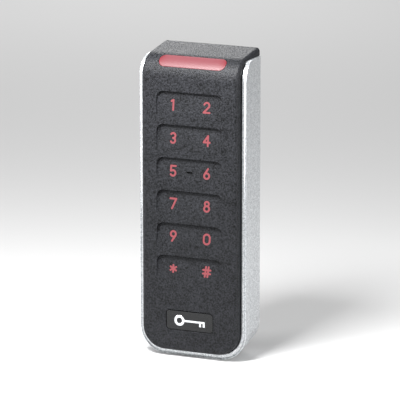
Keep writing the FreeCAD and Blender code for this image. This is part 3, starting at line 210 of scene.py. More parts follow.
@dataclass(frozen=True)
class FlakePaint:
    """Sprayed silver paint with aluminium flakes in it.

    Each flake lies at its own slant, so the coat sparkles in fine specks over a soft metallic sheen.
    """

    name: str
    colour: str
    dark_flake: str
    bright_flake: str
    roughness: float = 0.36
    flake_mm: float = 0.42
    relief_mm: float = 0.012
    sheen_swing: float = 0.08
    peel_ratio: float = 1.5
    metal_share: float = 0.7
    lacquer: float = 0.25
    lacquer_roughness: float = 0.15

    def material(self) -> bpy.types.Material:
        """Build the material. The flakes are drawn larger than real ones, which would not show."""
        material = new_material(self.name)
        tree = material.node_tree
        place = add_node(tree, "ShaderNodeTexCoord").outputs["Object"]
        flakes = add_node(tree, "ShaderNodeTexVoronoi", {
            "Vector": place, "Scale": per_metre(self.flake_mm), "Randomness": 1.0})
        grey = add_node(tree, "ShaderNodeSeparateColor", {"Color": flakes.outputs["Color"]})
        ramp = add_node(tree, "ShaderNodeValToRGB", {"Fac": grey.outputs["Red"]})
        ramp.color_ramp.elements[0].color = linear(self.dark_flake)
        ramp.color_ramp.elements[1].color = linear(self.bright_flake)
        middle = ramp.color_ramp.elements.new(0.5)
        middle.color = linear(self.colour)
        sheen = add_node(tree, "ShaderNodeMapRange", {
            "Value": grey.outputs["Green"], "To Min": self.roughness - self.sheen_swing,
            "To Max": self.roughness + self.sheen_swing})
        peel = add_node(tree, "ShaderNodeTexNoise", {
            "Vector": place, "Scale": per_metre(self.flake_mm * self.peel_ratio), "Detail": 2.0})
        bump = add_node(tree, "ShaderNodeBump", {
            "Strength": 1.0, "Distance": self.relief_mm * MM, "Height": peel.outputs["Fac"]})
        return surface(material, {
            "Base Color": ramp.outputs["Color"], "Metallic": self.metal_share,
            "Roughness": sheen.outputs["Result"], "Normal": bump.outputs["Normal"],
            "Coat Weight": self.lacquer, "Coat Roughness": self.lacquer_roughness})


@dataclass(frozen=True)
class Metal:
    """Bare or plated metal with the fine grain of its rolling, drawing or plating."""

    name: str
    colour: str
    shade: str
    roughness: float
    grain_mm: float = 0.6
    along: tuple[float, float, float] = (1.0, 1.0, 1.0)
    relief_mm: float = 0.003
    cloud_ratio: float = 14.0
    shade_level: float = 0.35
    bright_level: float = 0.65
    smoothest: float = 0.8
    roughest: float = 1.25

    def material(self) -> bpy.types.Material:
        """Build the material. The grain is longer along the axis whose share in along is small."""
        material = new_material(self.name)
        tree = material.node_tree
        place = add_node(tree, "ShaderNodeTexCoord").outputs["Object"]
        turned = add_node(tree, "ShaderNodeMapping", {"Vector": place, "Scale": self.along})
        grain = add_node(tree, "ShaderNodeTexNoise", {
            "Vector": turned.outputs["Vector"], "Scale": per_metre(self.grain_mm), "Detail": 4.0})
        cloud = add_node(tree, "ShaderNodeTexNoise", {
            "Vector": place, "Scale": per_metre(self.grain_mm * self.cloud_ratio), "Detail": 2.0})
        tone = add_node(tree, "ShaderNodeMath", {
            0: grain.outputs["Fac"], 1: cloud.outputs["Fac"]}, operation="ADD")
        ramp = add_node(tree, "ShaderNodeValToRGB", {"Fac": add_node(tree, "ShaderNodeMath", {
            0: tone.outputs[0], 1: 0.5}, operation="MULTIPLY").outputs[0]})
        ramp.color_ramp.elements[0].position = self.shade_level
        ramp.color_ramp.elements[0].color = linear(self.shade)
        ramp.color_ramp.elements[1].position = self.bright_level
        ramp.color_ramp.elements[1].color = linear(self.colour)
        sheen = add_node(tree, "ShaderNodeMapRange", {
            "Value": grain.outputs["Fac"], "From Min": NOISE_LOW, "From Max": NOISE_HIGH,
            "To Min": self.roughness * self.smoothest, "To Max": self.roughness * self.roughest})
        bump = add_node(tree, "ShaderNodeBump", {
            "Strength": 1.0, "Distance": self.relief_mm * MM, "Height": grain.outputs["Fac"]})
        return surface(material, {
            "Base Color": ramp.outputs["Color"], "Metallic": 1.0, "Roughness": sheen.outputs["Result"],
            "Normal": bump.outputs["Normal"]})


@dataclass(frozen=True)
class LitDiffuser:
    """Tinted diffusing plastic lit from behind.

    The lamps wash the middle out to a paler tone, and the thin rim keeps the plastic's own deep colour.
    """

    name: str
    centre: Vector
    tilt: float
    half: tuple[float, float]
    body: str
    middle: str
    rim: str
    glow: float
    roughness: float = 0.42
    edge_share: float = 0.35
    steepness: tuple[float, float] = (9.0, 3.0)
    haze_mm: float = 2.5
    middle_level: float = 0.12
    specular: float = 0.35

    def material(self) -> bpy.types.Material:
        """Build the material from the distance to the rim of a bar of the given half size."""
        material = new_material(self.name)
        tree = material.node_tree
        place = add_node(tree, "ShaderNodeTexCoord").outputs["Object"]
        shifted = add_node(tree, "ShaderNodeVectorMath", {
            0: place, 1: self.centre}, operation="SUBTRACT")
        level = add_node(tree, "ShaderNodeVectorRotate", {
            "Vector": shifted.outputs[0], "Angle": -self.tilt}, rotation_type="X_AXIS")
        parts = add_node(tree, "ShaderNodeSeparateXYZ", {"Vector": level.outputs[0]})
        reach = [add_node(tree, "ShaderNodeMath", {0: parts.outputs[axis]}, operation="ABSOLUTE")
                 for axis in ("X", "Z")]
        share = [add_node(tree, "ShaderNodeMath", {0: r.outputs[0], 1: half}, operation="DIVIDE")
                 for r, half in zip(reach, self.half)]
        steep = [add_node(tree, "ShaderNodeMath", {0: s.outputs[0], 1: power}, operation="POWER")
                 for s, power in zip(share, self.steepness)]
        rim = add_node(tree, "ShaderNodeMath", {
            0: steep[0].outputs[0], 1: steep[1].outputs[0]}, operation="ADD", use_clamp=True)
        haze = add_node(tree, "ShaderNodeTexNoise", {
            "Vector": place, "Scale": per_metre(self.haze_mm), "Detail": 2.0})
        mixed = add_node(tree, "ShaderNodeMath", {
            0: haze.outputs["Fac"], 1: self.edge_share, 2: rim.outputs[0]},
            operation="MULTIPLY_ADD", use_clamp=True)
        ramp = add_node(tree, "ShaderNodeValToRGB", {"Fac": mixed.outputs[0]})
        ramp.color_ramp.elements[0].position = self.middle_level
        ramp.color_ramp.elements[0].color = linear(self.middle)
        ramp.color_ramp.elements[1].color = linear(self.rim)
        return surface(material, {
            "Base Color": linear(self.body), "Roughness": self.roughness,
            "Emission Color": ramp.outputs["Color"], "Emission Strength": self.glow,
            "Specular IOR Level": self.specular})


@dataclass(frozen=True)
class ClearPlastic:
    """Clear moulded polycarbonate, faintly tinted in its depth."""

    name: str
    colour: str
    roughness: float = 0.08
    ripple_mm: float = 3.0
    relief_mm: float = 0.02
    ripple_strength: float = 0.4
    clarity: float = 0.85

    def material(self) -> bpy.types.Material:
        """Build the material, with the slight ripple of a moulded face."""
        material = new_material(self.name)
        tree = material.node_tree
        place = add_node(tree, "ShaderNodeTexCoord").outputs["Object"]
        ripple = add_node(tree, "ShaderNodeTexNoise", {
            "Vector": place, "Scale": per_metre(self.ripple_mm), "Detail": 1.0})
        bump = add_node(tree, "ShaderNodeBump", {
            "Strength": self.ripple_strength, "Distance": self.relief_mm * MM,
            "Height": ripple.outputs["Fac"]})
        return surface(material, {
            "Base Color": linear(self.colour), "Roughness": self.roughness, "IOR": 1.58,
            "Transmission Weight": self.clarity, "Normal": bump.outputs["Normal"]})


@dataclass(frozen=True)
class CircuitBoard:
    """Glass-fibre board under green solder mask.

    Copper tracks lift the mask a little and show through it as paler bands.
    """

    name: str
    mask: str
    track: str
    track_mm: float = 1.1
    tile_ratio: float = 8.0
    weave_mm: float = 0.5
    weave_share: float = 0.2
    relief_mm: float = 0.03
    roughness: float = 0.32

    def material(self) -> bpy.types.Material:
        """Build the material from a staggered grid of tracks."""
        material = new_material(self.name)
        tree = material.node_tree
        place = add_node(tree, "ShaderNodeTexCoord").outputs["Object"]
        turned = add_node(tree, "ShaderNodeMapping", {
            "Vector": place, "Rotation": (QUARTER_TURN, 0, 0)})
        tracks = add_node(tree, "ShaderNodeTexBrick", {
            "Vector": turned.outputs["Vector"], "Scale": per_metre(self.track_mm * self.tile_ratio),
            "Mortar Size": 0.035, "Mortar Smooth": 0.3, "Color1": (0, 0, 0, 1),
            "Color2": (0.05, 0.05, 0.05, 1), "Mortar": (1, 1, 1, 1)})
        weave = add_node(tree, "ShaderNodeTexNoise", {
            "Vector": place, "Scale": per_metre(self.weave_mm), "Detail": 2.0})
        level = add_node(tree, "ShaderNodeMath", {
            0: weave.outputs["Fac"], 1: self.weave_share, 2: tracks.outputs["Color"]},
            operation="MULTIPLY_ADD")
        ramp = add_node(tree, "ShaderNodeValToRGB", {"Fac": level.outputs[0]})
        ramp.color_ramp.elements[0].color = linear(self.mask)
        ramp.color_ramp.elements[1].color = linear(self.track)
        bump = add_node(tree, "ShaderNodeBump", {
            "Strength": 1.0, "Distance": self.relief_mm * MM, "Height": level.outputs[0]})
        return surface(material, {
            "Base Color": ramp.outputs["Color"], "Roughness": self.roughness, "IOR": 1.55,
            "Normal": bump.outputs["Normal"]})


# The black case front: polycarbonate blend, grained all over, a near neutral grey black.
CASE_BLACK = MouldedPlastic("grained_black_polycarbonate", "#2c2d31", "#0a0b0c", roughness=0.45,
                            specular=0.16, grain_mm=0.62, relief_mm=0.25)
# The tray behind: the same plastic from a coarser, duller tool.
TRAY_BLACK = MouldedPlastic("matt_black_tray_plastic", "#1d1e20", "#121314", roughness=0.62,
                            grain_mm=0.6)
# The badge ground: polished tool, so a deep gloss.
GLOSS_BLACK = MouldedPlastic("polished_black_acrylic", "#131416", "#0e0f10", roughness=0.22,
                             relief_mm=0.0015, specular=0.3, coat=0.12)
# The touch dash: painted shadow, a near-black matt cap on the dash's face that stands in for the dark
# mark of the raised dash's own shade.
DASH_PAINTED_SHADOW = MouldedPlastic("painted_shadow_black", "#060606", "#020202", roughness=0.9, specular=0.05)
# The frame: silver paint over moulded plastic.
SILVER = FlakePaint("silver_flake_paint", "#c4c7ca", "#a9acb0", "#dde0e2")
# The emblem: bright chromium over plastic.
CHROME = Metal("chromium_plate", "#e4e6e8", "#cfd2d5", roughness=0.12, grain_mm=0.8, relief_mm=0.001)
# The wall plate: rolled steel with bright zinc, slightly blue.
ZINC = Metal("bright_zinc_on_steel", "#b9bec4", "#9aa0a7", roughness=0.34, grain_mm=0.5,
             along=(1.0, 1.0, 0.12))
# The case and clamp screws: drawn steel under dull nickel, a warm grey.
NICKEL = Metal("nickel_plated_steel", "#c9c6be", "#aaa79f", roughness=0.24, grain_mm=0.5)
# The security screw: turned, so its fine rings run round it and read as a crosswise grain.
STAINLESS = Metal("turned_stainless_steel", "#c4c5c6", "#9fa1a3", roughness=0.22, grain_mm=0.4,
                  along=(1.0, 1.0, 6.0))
# The radio can: thin sheet with bright tin.
TIN = Metal("tinned_sheet", "#c2c5c4", "#a5a9a9", roughness=0.3, grain_mm=1.2)
# The antenna wire: copper under clear enamel, warm and glossy.
ENAMELLED_COPPER = Metal("enamelled_copper_wire", "#c87942", "#9c5527", roughness=0.2, grain_mm=0.9)
# The ferrite sheet: sintered powder in a film, dull dark grey.
FERRITE_GREY = MouldedPlastic("sintered_ferrite_film", "#3b3a3c", "#2a292b", roughness=0.7, grain_mm=0.3)
# Packages and plugs: transfer-moulded epoxy with a fine matt face.
CHIP_BLACK = MouldedPlastic("moulded_epoxy_package", "#202124", "#151618", roughness=0.6, grain_mm=0.3,
                            relief_mm=0.01)
# The terminal blocks: green polyamide with a soft shine.
TERMINAL_GREEN = MouldedPlastic("green_polyamide", "#2f8f4e", "#257541", roughness=0.42, grain_mm=0.8,
                                relief_mm=0.01)
# The seal: foamed rubber, open-pored and dull.
SEAL_RUBBER = MouldedPlastic("foamed_seal_rubber", "#2a2a2b", "#19191a", roughness=0.85, grain_mm=0.35,
                             relief_mm=0.05)
# The captive washer: uncoloured nylon, a creamy white.
NYLON = MouldedPlastic("natural_nylon", "#dcd6c4", "#cbc4b0", roughness=0.45, grain_mm=0.8,
                       relief_mm=0.006)
# The lamps: white moulded packages.
LED_WHITE = MouldedPlastic("white_led_package", "#e9e7dc", "#d8d5c6", roughness=0.4, grain_mm=0.5,
                           relief_mm=0.004)
# Clear polycarbonate: the light guides, and the pane in front of the sensor.
GUIDE_CLEAR = ClearPlastic("clear_light_guide", "#f2f5f4")
WINDOW_CLEAR = ClearPlastic("clear_sensor_window", "#dfe3e3")
# The boards: green solder mask over copper tracks.
BOARD_GREEN = CircuitBoard("green_solder_mask", "#14502f", "#2c7a4c")


# ---------------------------------------------------------------- shapes

def weld_copy(node: str, name: str) -> bpy.types.Object:
    """Copy a CAD node's mesh into a new object and weld its loose triangles.

    Args:
        node: The CAD node to copy.
        name: The name of the new piece.

    Returns:
        The new object, with flat areas joined into whole faces.
    """
    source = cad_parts[node].data
    mesh = bpy.data.meshes.new(name)
    mesh.from_pydata([v.co for v in source.vertices], [], [p.vertices for p in source.polygons])
    shape = bmesh.new()
    shape.from_mesh(mesh)
    bmesh.ops.remove_doubles(shape, verts=shape.verts, dist=WELD)
    bmesh.ops.dissolve_limit(shape, angle_limit=FLAT_WITHIN, verts=shape.verts, edges=shape.edges,
                             delimit={"NORMAL"})
    shape.to_mesh(mesh)
    shape.free()
    piece = bpy.data.objects.new(name, mesh)
    bpy.context.collection.objects.link(piece)
    return piece


def rounded_copy(node: str, edge_mm: float, crease: float = 30.0, steps: int = 2) -> bpy.types.Object:
    """Copy a CAD node and round its sharp edges, as a moulding or a stamping has them.

    Args:
        node: The CAD node to copy.
        edge_mm: Width of the rounding.
        crease: Edges that turn more than this many degrees are rounded.
        steps: Faces across each rounding.

    Returns:
        The new piece, with its rounding applied to its mesh.
    """
    piece = weld_copy(node, node + "_body")
    for face in piece.data.polygons:
        face.use_smooth = True
    bevel = piece.modifiers.new("rounding", "BEVEL")
    bevel.width = edge_mm * MM
    bevel.segments = steps
    bevel.limit_method = "ANGLE"
    bevel.angle_limit = math.radians(crease)
    bevel.use_clamp_overlap = False
    bevel.harden_normals = True
    apply_modifiers(piece)
    return piece


def apply_modifiers(piece: bpy.types.Object) -> None:
    """Turn a piece's evaluated shape into its own plain mesh."""
    evaluated = piece.evaluated_get(bpy.context.evaluated_depsgraph_get())
    mesh = bpy.data.meshes.new_from_object(evaluated)
    mesh.name = piece.name
    piece.modifiers.clear()
    piece.data = mesh


def dress(piece: bpy.types.Object, finish, body: Body, slot: str, *nodes: str) -> bpy.types.Object:
    """Give a piece its finish and its body, and hide the CAD nodes that it stands for.

    Args:
        piece: The finished piece.
        finish: The finish whose material it takes, or None where its mesh has one already.
        body: The body that it rides on.
        slot: The record's material slot. Not used.
        *nodes: The CAD nodes that it replaces.

    Returns:
        The same piece.
    """
    if finish is not None:
        piece.data.materials.clear()
        piece.data.materials.append(finish.material())
    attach(piece, body.value)
    if nodes:
        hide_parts(*nodes)
    log.info("%s: %d faces on %s", piece.name, len(piece.data.polygons), body.value)
    return piece


def finish_nodes(finish, *nodes: str) -> None:
    """Give CAD nodes that keep their own shape a finish."""
    material = finish.material()
    for node in nodes:
        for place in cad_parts[node].material_slots:
            place.material = material
        log.info("%s: finished as %s", node, material.name)


class RepeatTree:
    """A Geometry Nodes tree with named sizes, which becomes one plain mesh."""

    def __init__(self, name: str) -> None:
        """Start an empty tree.

        Args:
            name: The name of the tree and of the piece that it makes.
        """
        self.name = name
        self.tree = bpy.data.node_groups.new(name, "GeometryNodeTree")
        self.tree.interface.new_socket("Geometry", in_out="OUTPUT", socket_type="NodeSocketGeometry")
        self.entry = add_node(self.tree, "NodeGroupInput")
        self.values: dict[str, object] = {}

    def add(self, kind: str, inputs: dict | None = None, **settings) -> bpy.types.Node:
        """Add one node to this tree."""
        return add_node(self.tree, kind, inputs, **settings)

    def size(self, name: str, value) -> bpy.types.NodeSocket:
        """Add a named input.

        Args:
            name: What the input is called.
            value: A whole number, a length, a vector or a material.

        Returns:
            The socket that carries it inside the tree.
        """
        kinds = {int: "Int", float: "Float", Vector: "Vector", bpy.types.Material: "Material"}
        socket = self.tree.interface.new_socket(name, in_out="INPUT",
                                                socket_type="NodeSocket" + kinds[type(value)])
        self.values[socket.identifier] = value
        return self.entry.outputs[name]

    def paint(self, geometry: bpy.types.NodeSocket,
              material: bpy.types.NodeSocket) -> bpy.types.NodeSocket:
        """Set the material of one part of the shape."""
        return self.add("GeometryNodeSetMaterial", {
            "Geometry": geometry, "Material": material}).outputs[0]

    def instances(self, shape: bpy.types.NodeSocket, points: bpy.types.NodeSocket,
                  turn: tuple[float, float, float] = (0.0, 0.0, 0.0)) -> bpy.types.NodeSocket:
        """Put one copy of a shape, turned as given, on every point."""
        return self.add("GeometryNodeInstanceOnPoints", {
            "Points": points, "Instance": shape, "Rotation": turn}).outputs["Instances"]

    def bake(self, geometry: bpy.types.NodeSocket) -> bpy.types.Object:
        """Close the tree and turn its result into a plain piece.

        Args:
            geometry: The finished shape, with its materials set.

        Returns:
            A mesh object at the origin, with no modifier left.
        """
        real = self.add("GeometryNodeRealizeInstances", {"Geometry": geometry}).outputs[0]
        self.add("NodeGroupOutput", {"Geometry": real})
        piece = bpy.data.objects.new(self.name, bpy.data.meshes.new(self.name))
        bpy.context.collection.objects.link(piece)
        modifier = piece.modifiers.new(self.name, "NODES")
        modifier.node_group = self.tree
        for identifier, value in self.values.items():
            modifier[identifier] = tuple(value) if isinstance(value, Vector) else value
        apply_modifiers(piece)
        return piece


# ---------------------------------------------------------------- sub-assemblies

@dataclass
class FrontCover:
    """The black grained front with its key hollows, the lit legends in them and painted shadow on the
    touch dash.
    """

    edge_mm: float = 0.12
    rows: int = 6
    dash_row: int = 2
    dash: Vector = field(default_factory=lambda: Vector((2.3, 0.1, 0.6)) * MM)
    dash_depth_mm: float = 0.207
    legend_half_mm: float = 2.26
    legend_glow: float = 0.44
    crease: float = 38.0

    def build(self) -> None:
        """Make the cover, the legends and the dash's painted shadow."""
        cover = rounded_copy("front_cover", self.edge_mm, self.crease)
        dress(cover, CASE_BLACK, Body.READER, "black_moulding", "front_cover")
        low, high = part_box("key_legends")
        legends = weld_copy("key_legends", "key_legends_body")
        glow = LitDiffuser("backlit_red_legend", (low + high) / 2, 0.0, (high.x - low.x, high.z - low.z),
                           "#5a2c30", "#cc6168", "#d27378", self.legend_glow)
        dress(legends, glow, Body.READER, "lit_legend", "key_legends")
        self.dash_painted_shadow(low, high)

    def dash_painted_shadow(self, low: Vector, high: Vector) -> None:
        """Cap the raised dash that a finger finds with a thin near-black sheet, between its two legends.
        The sheet is painted shadow: it stands in for the dash's shade.

        Args:
            low: The lowest corner of the legends' box.
            high: Its highest corner.
        """
        first = high.z - self.legend_half_mm * MM
        last = low.z + self.legend_half_mm * MM
        level = first + (last - first) * self.dash_row / (self.rows - 1)
        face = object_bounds()[0].y + self.dash_depth_mm * MM
        shape = bmesh.new()
        bmesh.ops.create_cube(shape, size=1.0)
        bmesh.ops.scale(shape, vec=self.dash, verts=shape.verts)
        bmesh.ops.bevel(shape, geom=shape.edges[:], offset=self.dash.y * 0.4, segments=2, affect="EDGES")
        bmesh.ops.translate(shape, vec=Vector((0.0, face, level)), verts=shape.verts)
        mesh = bpy.data.meshes.new("dash_painted_shadow")
        shape.to_mesh(mesh)
        shape.free()
        piece = bpy.data.objects.new("dash_painted_shadow", mesh)
        bpy.context.collection.objects.link(piece)
        # The near-black cap is painted shadow on the dash, not a different finish.
        dress(piece, DASH_PAINTED_SHADOW, Body.READER, "black_moulding")


@dataclass
class LightBar:
    """The red status window across the top bend, with its guide, lamps and board."""

    edge_mm: float = 0.15
    glow: float = 0.52
    tilt: float = math.radians(49.5)
    crease: float = 40.0
    lit_height: float = 0.72

    def build(self) -> None:
        """Make the window, and finish its lamps and what lies behind."""
        lens = rounded_copy("light_bar_lens", self.edge_mm, self.crease)
        low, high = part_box("light_bar_lens")
        tall = math.hypot(high.y - low.y, high.z - low.z) * self.lit_height
        half = ((high.x - low.x) / 2, tall / 2)
        glow = LitDiffuser("lit_red_window", (low + high) / 2, self.tilt, half,
                           "#3c1a1e", "#d4838b", "#c8283a", self.glow)
        dress(lens, glow, Body.READER, "red_lens", "light_bar_lens")
        finish_nodes(GUIDE_CLEAR, "light_bar_guide")
        finish_nodes(BOARD_GREEN, "light_bar_board")
        finish_nodes(LED_WHITE, "light_bar_leds")


@dataclass
class Badge:
    """The gloss plate low on the front, with its chrome key sign."""

    plate_edge_mm: float = 0.18
    emblem_edge_mm: float = 0.07

    def build(self) -> None:
        """Make the plate and the sign."""
        plate = rounded_copy("badge_plate", self.plate_edge_mm, steps=3)
        dress(plate, GLOSS_BLACK, Body.READER, "gloss_black", "badge_plate")
        emblem = rounded_copy("key_emblem", self.emblem_edge_mm)
        dress(emblem, CHROME, Body.READER, "chrome", "key_emblem")


@dataclass
class TrimFrame:
    """The silver painted frame round the cover."""

    edge_mm: float = 0.2
    crease: float = 35.0

    def build(self) -> None:
        """Make the frame with its softened rims."""
        trim = rounded_copy("trim_frame", self.edge_mm, self.crease, steps=3)
        dress(trim, SILVER, Body.READER, "silver_paint", "trim_frame")


@dataclass
class BackAssembly:
    """The wall plate, the rear tray, its seal and its screws."""

    plate_edge_mm: float = 0.15
    tray_edge_mm: float = 0.12

    def build(self) -> None:
        """Make the plate and the tray, and finish the small parts."""
        plate = rounded_copy("mounting_plate", self.plate_edge_mm)
        dress(plate, ZINC, Body.WALL_PLATE, "zinc_steel", "mounting_plate")
        tray = rounded_copy("rear_housing", self.tray_edge_mm)
        dress(tray, TRAY_BLACK, Body.READER, "black_housing", "rear_housing")
        finish_nodes(SEAL_RUBBER, "housing_seal")
        finish_nodes(NICKEL, "case_screws", "terminal_cages")
        finish_nodes(WINDOW_CLEAR, "tamper_window")
        finish_nodes(CHIP_BLACK, "tamper_sensor")


@dataclass
class LockScrew:
    """The security screw under the reader, and the washer that keeps it there."""

    def build(self) -> None:
        """Finish the turned screw and the cut washer."""
        finish_nodes(STAINLESS, "security_screw")
        finish_nodes(NYLON, "captive_washer")


@dataclass
class Terminals:
    """The two rows of wire terminals in the wiring bay, with their slotted screws."""

    edge_mm: float = 0.15
    count: int = 5
    slot_width_mm: float = 0.35
    slot_depth_mm: float = 0.4
    sides: int = 32
    slot_turn: float = math.radians(35)

    def build(self) -> None:
        """Make the blocks and the screws."""
        for node in ("terminal_block_upper", "terminal_block_lower"):
            dress(rounded_copy(node, self.edge_mm), TERMINAL_GREEN, Body.READER, "terminal_green", node)
        self.screws()

    def screws(self) -> None:
        """Make every slotted screw from one head, on the points of both rows."""
        low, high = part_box("terminal_screws")
        tall = high.y - low.y
        radius = self.screw_radius(low, high)
        tree = RepeatTree("terminal_screws_slotted")
        steel = tree.size("Steel", NICKEL.material())
        barrel = tree.add("GeometryNodeMeshCylinder", {
            "Vertices": self.sides, "Radius": tree.size("Screw radius", radius),
            "Depth": tree.size("Screw length", tall)})
        cut = tree.add("GeometryNodeMeshCube", {
            "Size": tree.size("Slot", Vector((radius * 3, self.slot_width_mm * MM,
                                              self.slot_depth_mm * 2 * MM)))})
        lifted = tree.add("GeometryNodeTransform", {
            "Geometry": cut.outputs["Mesh"], "Translation": (0, 0, tall / 2),
            "Rotation": (0, 0, self.slot_turn)})
        head = tree.add("GeometryNodeMeshBoolean", {
            "Mesh 1": barrel.outputs["Mesh"], "Mesh 2": lifted.outputs["Geometry"]},
            operation="DIFFERENCE")
        across = high.x - low.x - 2 * radius
        rows = high.z - low.z - 2 * radius
        grid = tree.add("GeometryNodeMeshGrid", {
            "Size X": tree.size("Row length", across), "Size Y": tree.size("Row spacing", rows),
            "Vertices X": tree.size("Screws in a row", self.count), "Vertices Y": 2})
        centre = (low + high) / 2
        placed = tree.add("GeometryNodeTransform", {
            "Geometry": grid.outputs["Mesh"], "Translation": centre,
            "Rotation": (-QUARTER_TURN, 0, 0)})
        heads = tree.instances(head.outputs["Mesh"], placed.outputs["Geometry"],
                               (-QUARTER_TURN, 0, 0))
        piece = tree.bake(tree.paint(heads, steel))
        dress(piece, None, Body.READER, "steel_screw", "terminal_screws")

    def screw_radius(self, low: Vector, high: Vector) -> float:
        """Work out the radius of one screw.

        Args:
            low: The lowest corner of both rows of screws.
            high: Their highest corner.

        Returns:
            Half the width that is left when the pitch of the block is taken off.
        """
        block_low, block_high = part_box("terminal_block_upper")
        pitch = (block_high.x - block_low.x) / self.count
        return ((high.x - low.x) - pitch * (self.count - 1)) / 2


@dataclass
class Electronics:
    """The boards and what they carry."""

    edge_mm: float = 0.12

    def build(self) -> None:
        """Make the can and the packages, and finish the rest."""
        for node, finish, slot in (("radio_shield", TIN, "tin_can"),
                                   ("sounder", CHIP_BLACK, "sounder_black"),
                                   ("processor_chip", CHIP_BLACK, "chip_black")):
            dress(rounded_copy(node, self.edge_mm), finish, Body.READER, slot, node)
        finish_nodes(BOARD_GREEN, "main_board", "keypad_board")
        finish_nodes(CHIP_BLACK, "board_link_socket", "board_link_header", "surface_parts")
        finish_nodes(LED_WHITE, "keypad_leds")
        finish_nodes(GUIDE_CLEAR, "keypad_light_guide")
        finish_nodes(FERRITE_GREY, "ferrite_sheet")


@dataclass
class Antenna:
    """The flat wound coil round the keypad board, turn by turn."""

    across: int = 5
    layers: int = 3
    corner_mm: float = 2.5
    corner_steps: int = 8
    wire_sides: int = 6

    def build(self) -> None:
        """Wind the coil by sweeping all its turns at once along one rounded rectangle."""
        low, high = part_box("antenna_coil")
        band = self.band(low)
        thick = high.y - low.y
        wire = min(band / self.across, thick / self.layers)
        tree = RepeatTree("antenna_coil_turns")
        copper = tree.size("Wire enamel", ENAMELLED_COPPER.material())
        loop = tree.add("GeometryNodeCurvePrimitiveQuadrilateral", {
            "Width": tree.size("Loop width", high.x - low.x - band),
            "Height": tree.size("Loop height", high.z - low.z - band)})
        rounded = tree.add("GeometryNodeFilletCurve", {
            "Curve": loop.outputs["Curve"], "Radius": tree.size("Corner", self.corner_mm * MM),
            "Limit Radius": True, "Count": self.corner_steps}, mode="POLY")
        grid = tree.add("GeometryNodeMeshGrid", {
            "Size X": band - wire, "Size Y": thick - wire,
            "Vertices X": tree.size("Turns in a layer", self.across),
            "Vertices Y": tree.size("Layers", self.layers)})
        section = tree.add("GeometryNodeCurvePrimitiveCircle", {
            "Resolution": self.wire_sides, "Radius": tree.size("Wire radius", wire / 2)})
        turns = tree.instances(section.outputs["Curve"], grid.outputs["Mesh"])
        profile = tree.add("GeometryNodeRealizeInstances", {"Geometry": turns})
        swept = tree.add("GeometryNodeCurveToMesh", {
            "Curve": rounded.outputs["Curve"], "Profile Curve": profile.outputs[0]})
        placed = tree.add("GeometryNodeTransform", {
            "Geometry": swept.outputs["Mesh"], "Translation": (low + high) / 2,
            "Rotation": (QUARTER_TURN, 0, 0)})
        piece = tree.bake(tree.paint(placed.outputs["Geometry"], copper))
        for face in piece.data.polygons:
            face.use_smooth = True
        dress(piece, None, Body.READER, "coil_copper", "antenna_coil")

    def band(self, low: Vector) -> float:
        """Measure the width of the wound band, from its outer side to the ferrite inside it.

        Args:
            low: The lowest corner of the coil.

        Returns:
            The width of the band.
        """
        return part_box("ferrite_sheet")[0].x - low.x


@dataclass(frozen=True)
class Softbox:
    """A square area light that looks at the object from a place measured from its middle."""

    name: str
    power: float
    size: float
    place: tuple[float, float, float]


# The key stands close above the front, so the front is brightest near its top.
SOFTBOXES = (
    Softbox("key_softbox", 1.45, 0.08, (-0.02, -0.125, 0.195)),
    Softbox("front_softbox", 1.9, 0.25, (-0.48, -0.26, 0.16)),
    Softbox("back_softbox", 3.3, 0.40, (-0.45, 0.90, 0.46)),
    Softbox("right_softbox", 5.4, 0.3, (0.80, -0.16, 0.22)),
)


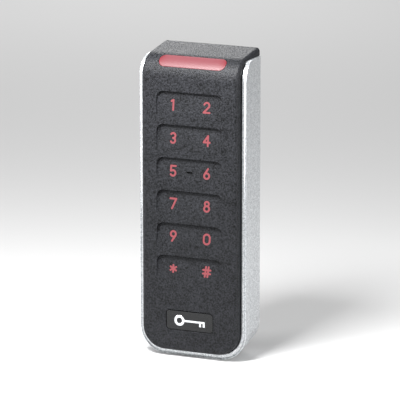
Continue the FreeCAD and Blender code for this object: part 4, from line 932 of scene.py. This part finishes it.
@dataclass
class Studio:
    """A pale floor, soft lights and the camera."""

    azimuth: float = math.radians(23.81)
    elevation: float = math.radians(13.14)
    distance: float = 1.3452
    lens: float = 308.5
    aim: Vector = field(default_factory=lambda: Vector((-4.0, 8.59, -1.55)) * MM)
    floor_size: float = 4.0
    floor_grey: str = "#d2d2d2"
    sky: float = 0.3
    near: float = 0.05
    far: float = 20.0

    def build(self) -> None:
        """Set the scene round the object."""
        low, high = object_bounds()
        self.floor(low.z)
        self.camera((low + high) / 2)
        self.lights((low + high) / 2)

    def floor(self, level: float) -> None:
        """Lay the floor.

        Args:
            level: The height of the object's foot.
        """
        half = self.floor_size / 2
        mesh = bpy.data.meshes.new("floor")
        mesh.from_pydata([(-half, -half, level), (half, -half, level), (half, half, level),
                          (-half, half, level)], [], [(0, 1, 2, 3)])
        floor = bpy.data.objects.new("floor", mesh)
        bpy.context.collection.objects.link(floor)
        paper = {"Base Color": linear(self.floor_grey), "Roughness": 0.9}
        mesh.materials.append(surface(new_material("pale_matt_floor"), paper))
        floor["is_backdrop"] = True

    def camera(self, centre: Vector) -> None:
        """Place the camera.

        Args:
            centre: The middle of the object's box.
        """
        back = Vector((math.sin(self.azimuth) * math.cos(self.elevation),
                       -math.cos(self.azimuth) * math.cos(self.elevation), math.sin(self.elevation)))
        data = bpy.data.cameras.new("camera")
        data.lens = self.lens
        data.clip_start, data.clip_end = self.near, self.far
        camera = bpy.data.objects.new("camera", data)
        camera.location = centre + self.aim + back * self.distance
        camera.rotation_euler = (-back).to_track_quat("-Z", "Y").to_euler()
        bpy.context.collection.objects.link(camera)
        bpy.context.scene.camera = camera

    def lights(self, centre: Vector) -> None:
        """Light the object softly from all round.

        Args:
            centre: The middle of the object's box.
        """
        world = bpy.data.worlds.new("studio")
        world.use_nodes = True
        world.node_tree.nodes["Background"].inputs["Color"].default_value = linear("#ffffff")
        world.node_tree.nodes["Background"].inputs["Strength"].default_value = self.sky
        bpy.context.scene.world = world
        bpy.context.scene.view_settings.view_transform = "Standard"
        for box in SOFTBOXES:
            data = bpy.data.lights.new(box.name, "AREA")
            data.energy, data.size = box.power, box.size
            light = bpy.data.objects.new(box.name, data)
            light.location = centre + Vector(box.place)
            light.rotation_euler = (-Vector(box.place)).to_track_quat("-Z", "Y").to_euler()
            bpy.context.collection.objects.link(light)


def main() -> None:
    """Build every sub-assembly, then the studio, and log each step."""
    logging.basicConfig(level=logging.INFO, format="%(name)s: %(message)s")
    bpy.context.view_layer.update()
    for assembly in (TrimFrame(), FrontCover(), LightBar(), Badge(), BackAssembly(), LockScrew(),
                     Terminals(), Electronics(), Antenna()):
        log.info("building %s", type(assembly).__name__)
        assembly.build()
    Studio().build()


if __name__ == "__main__":
    main()
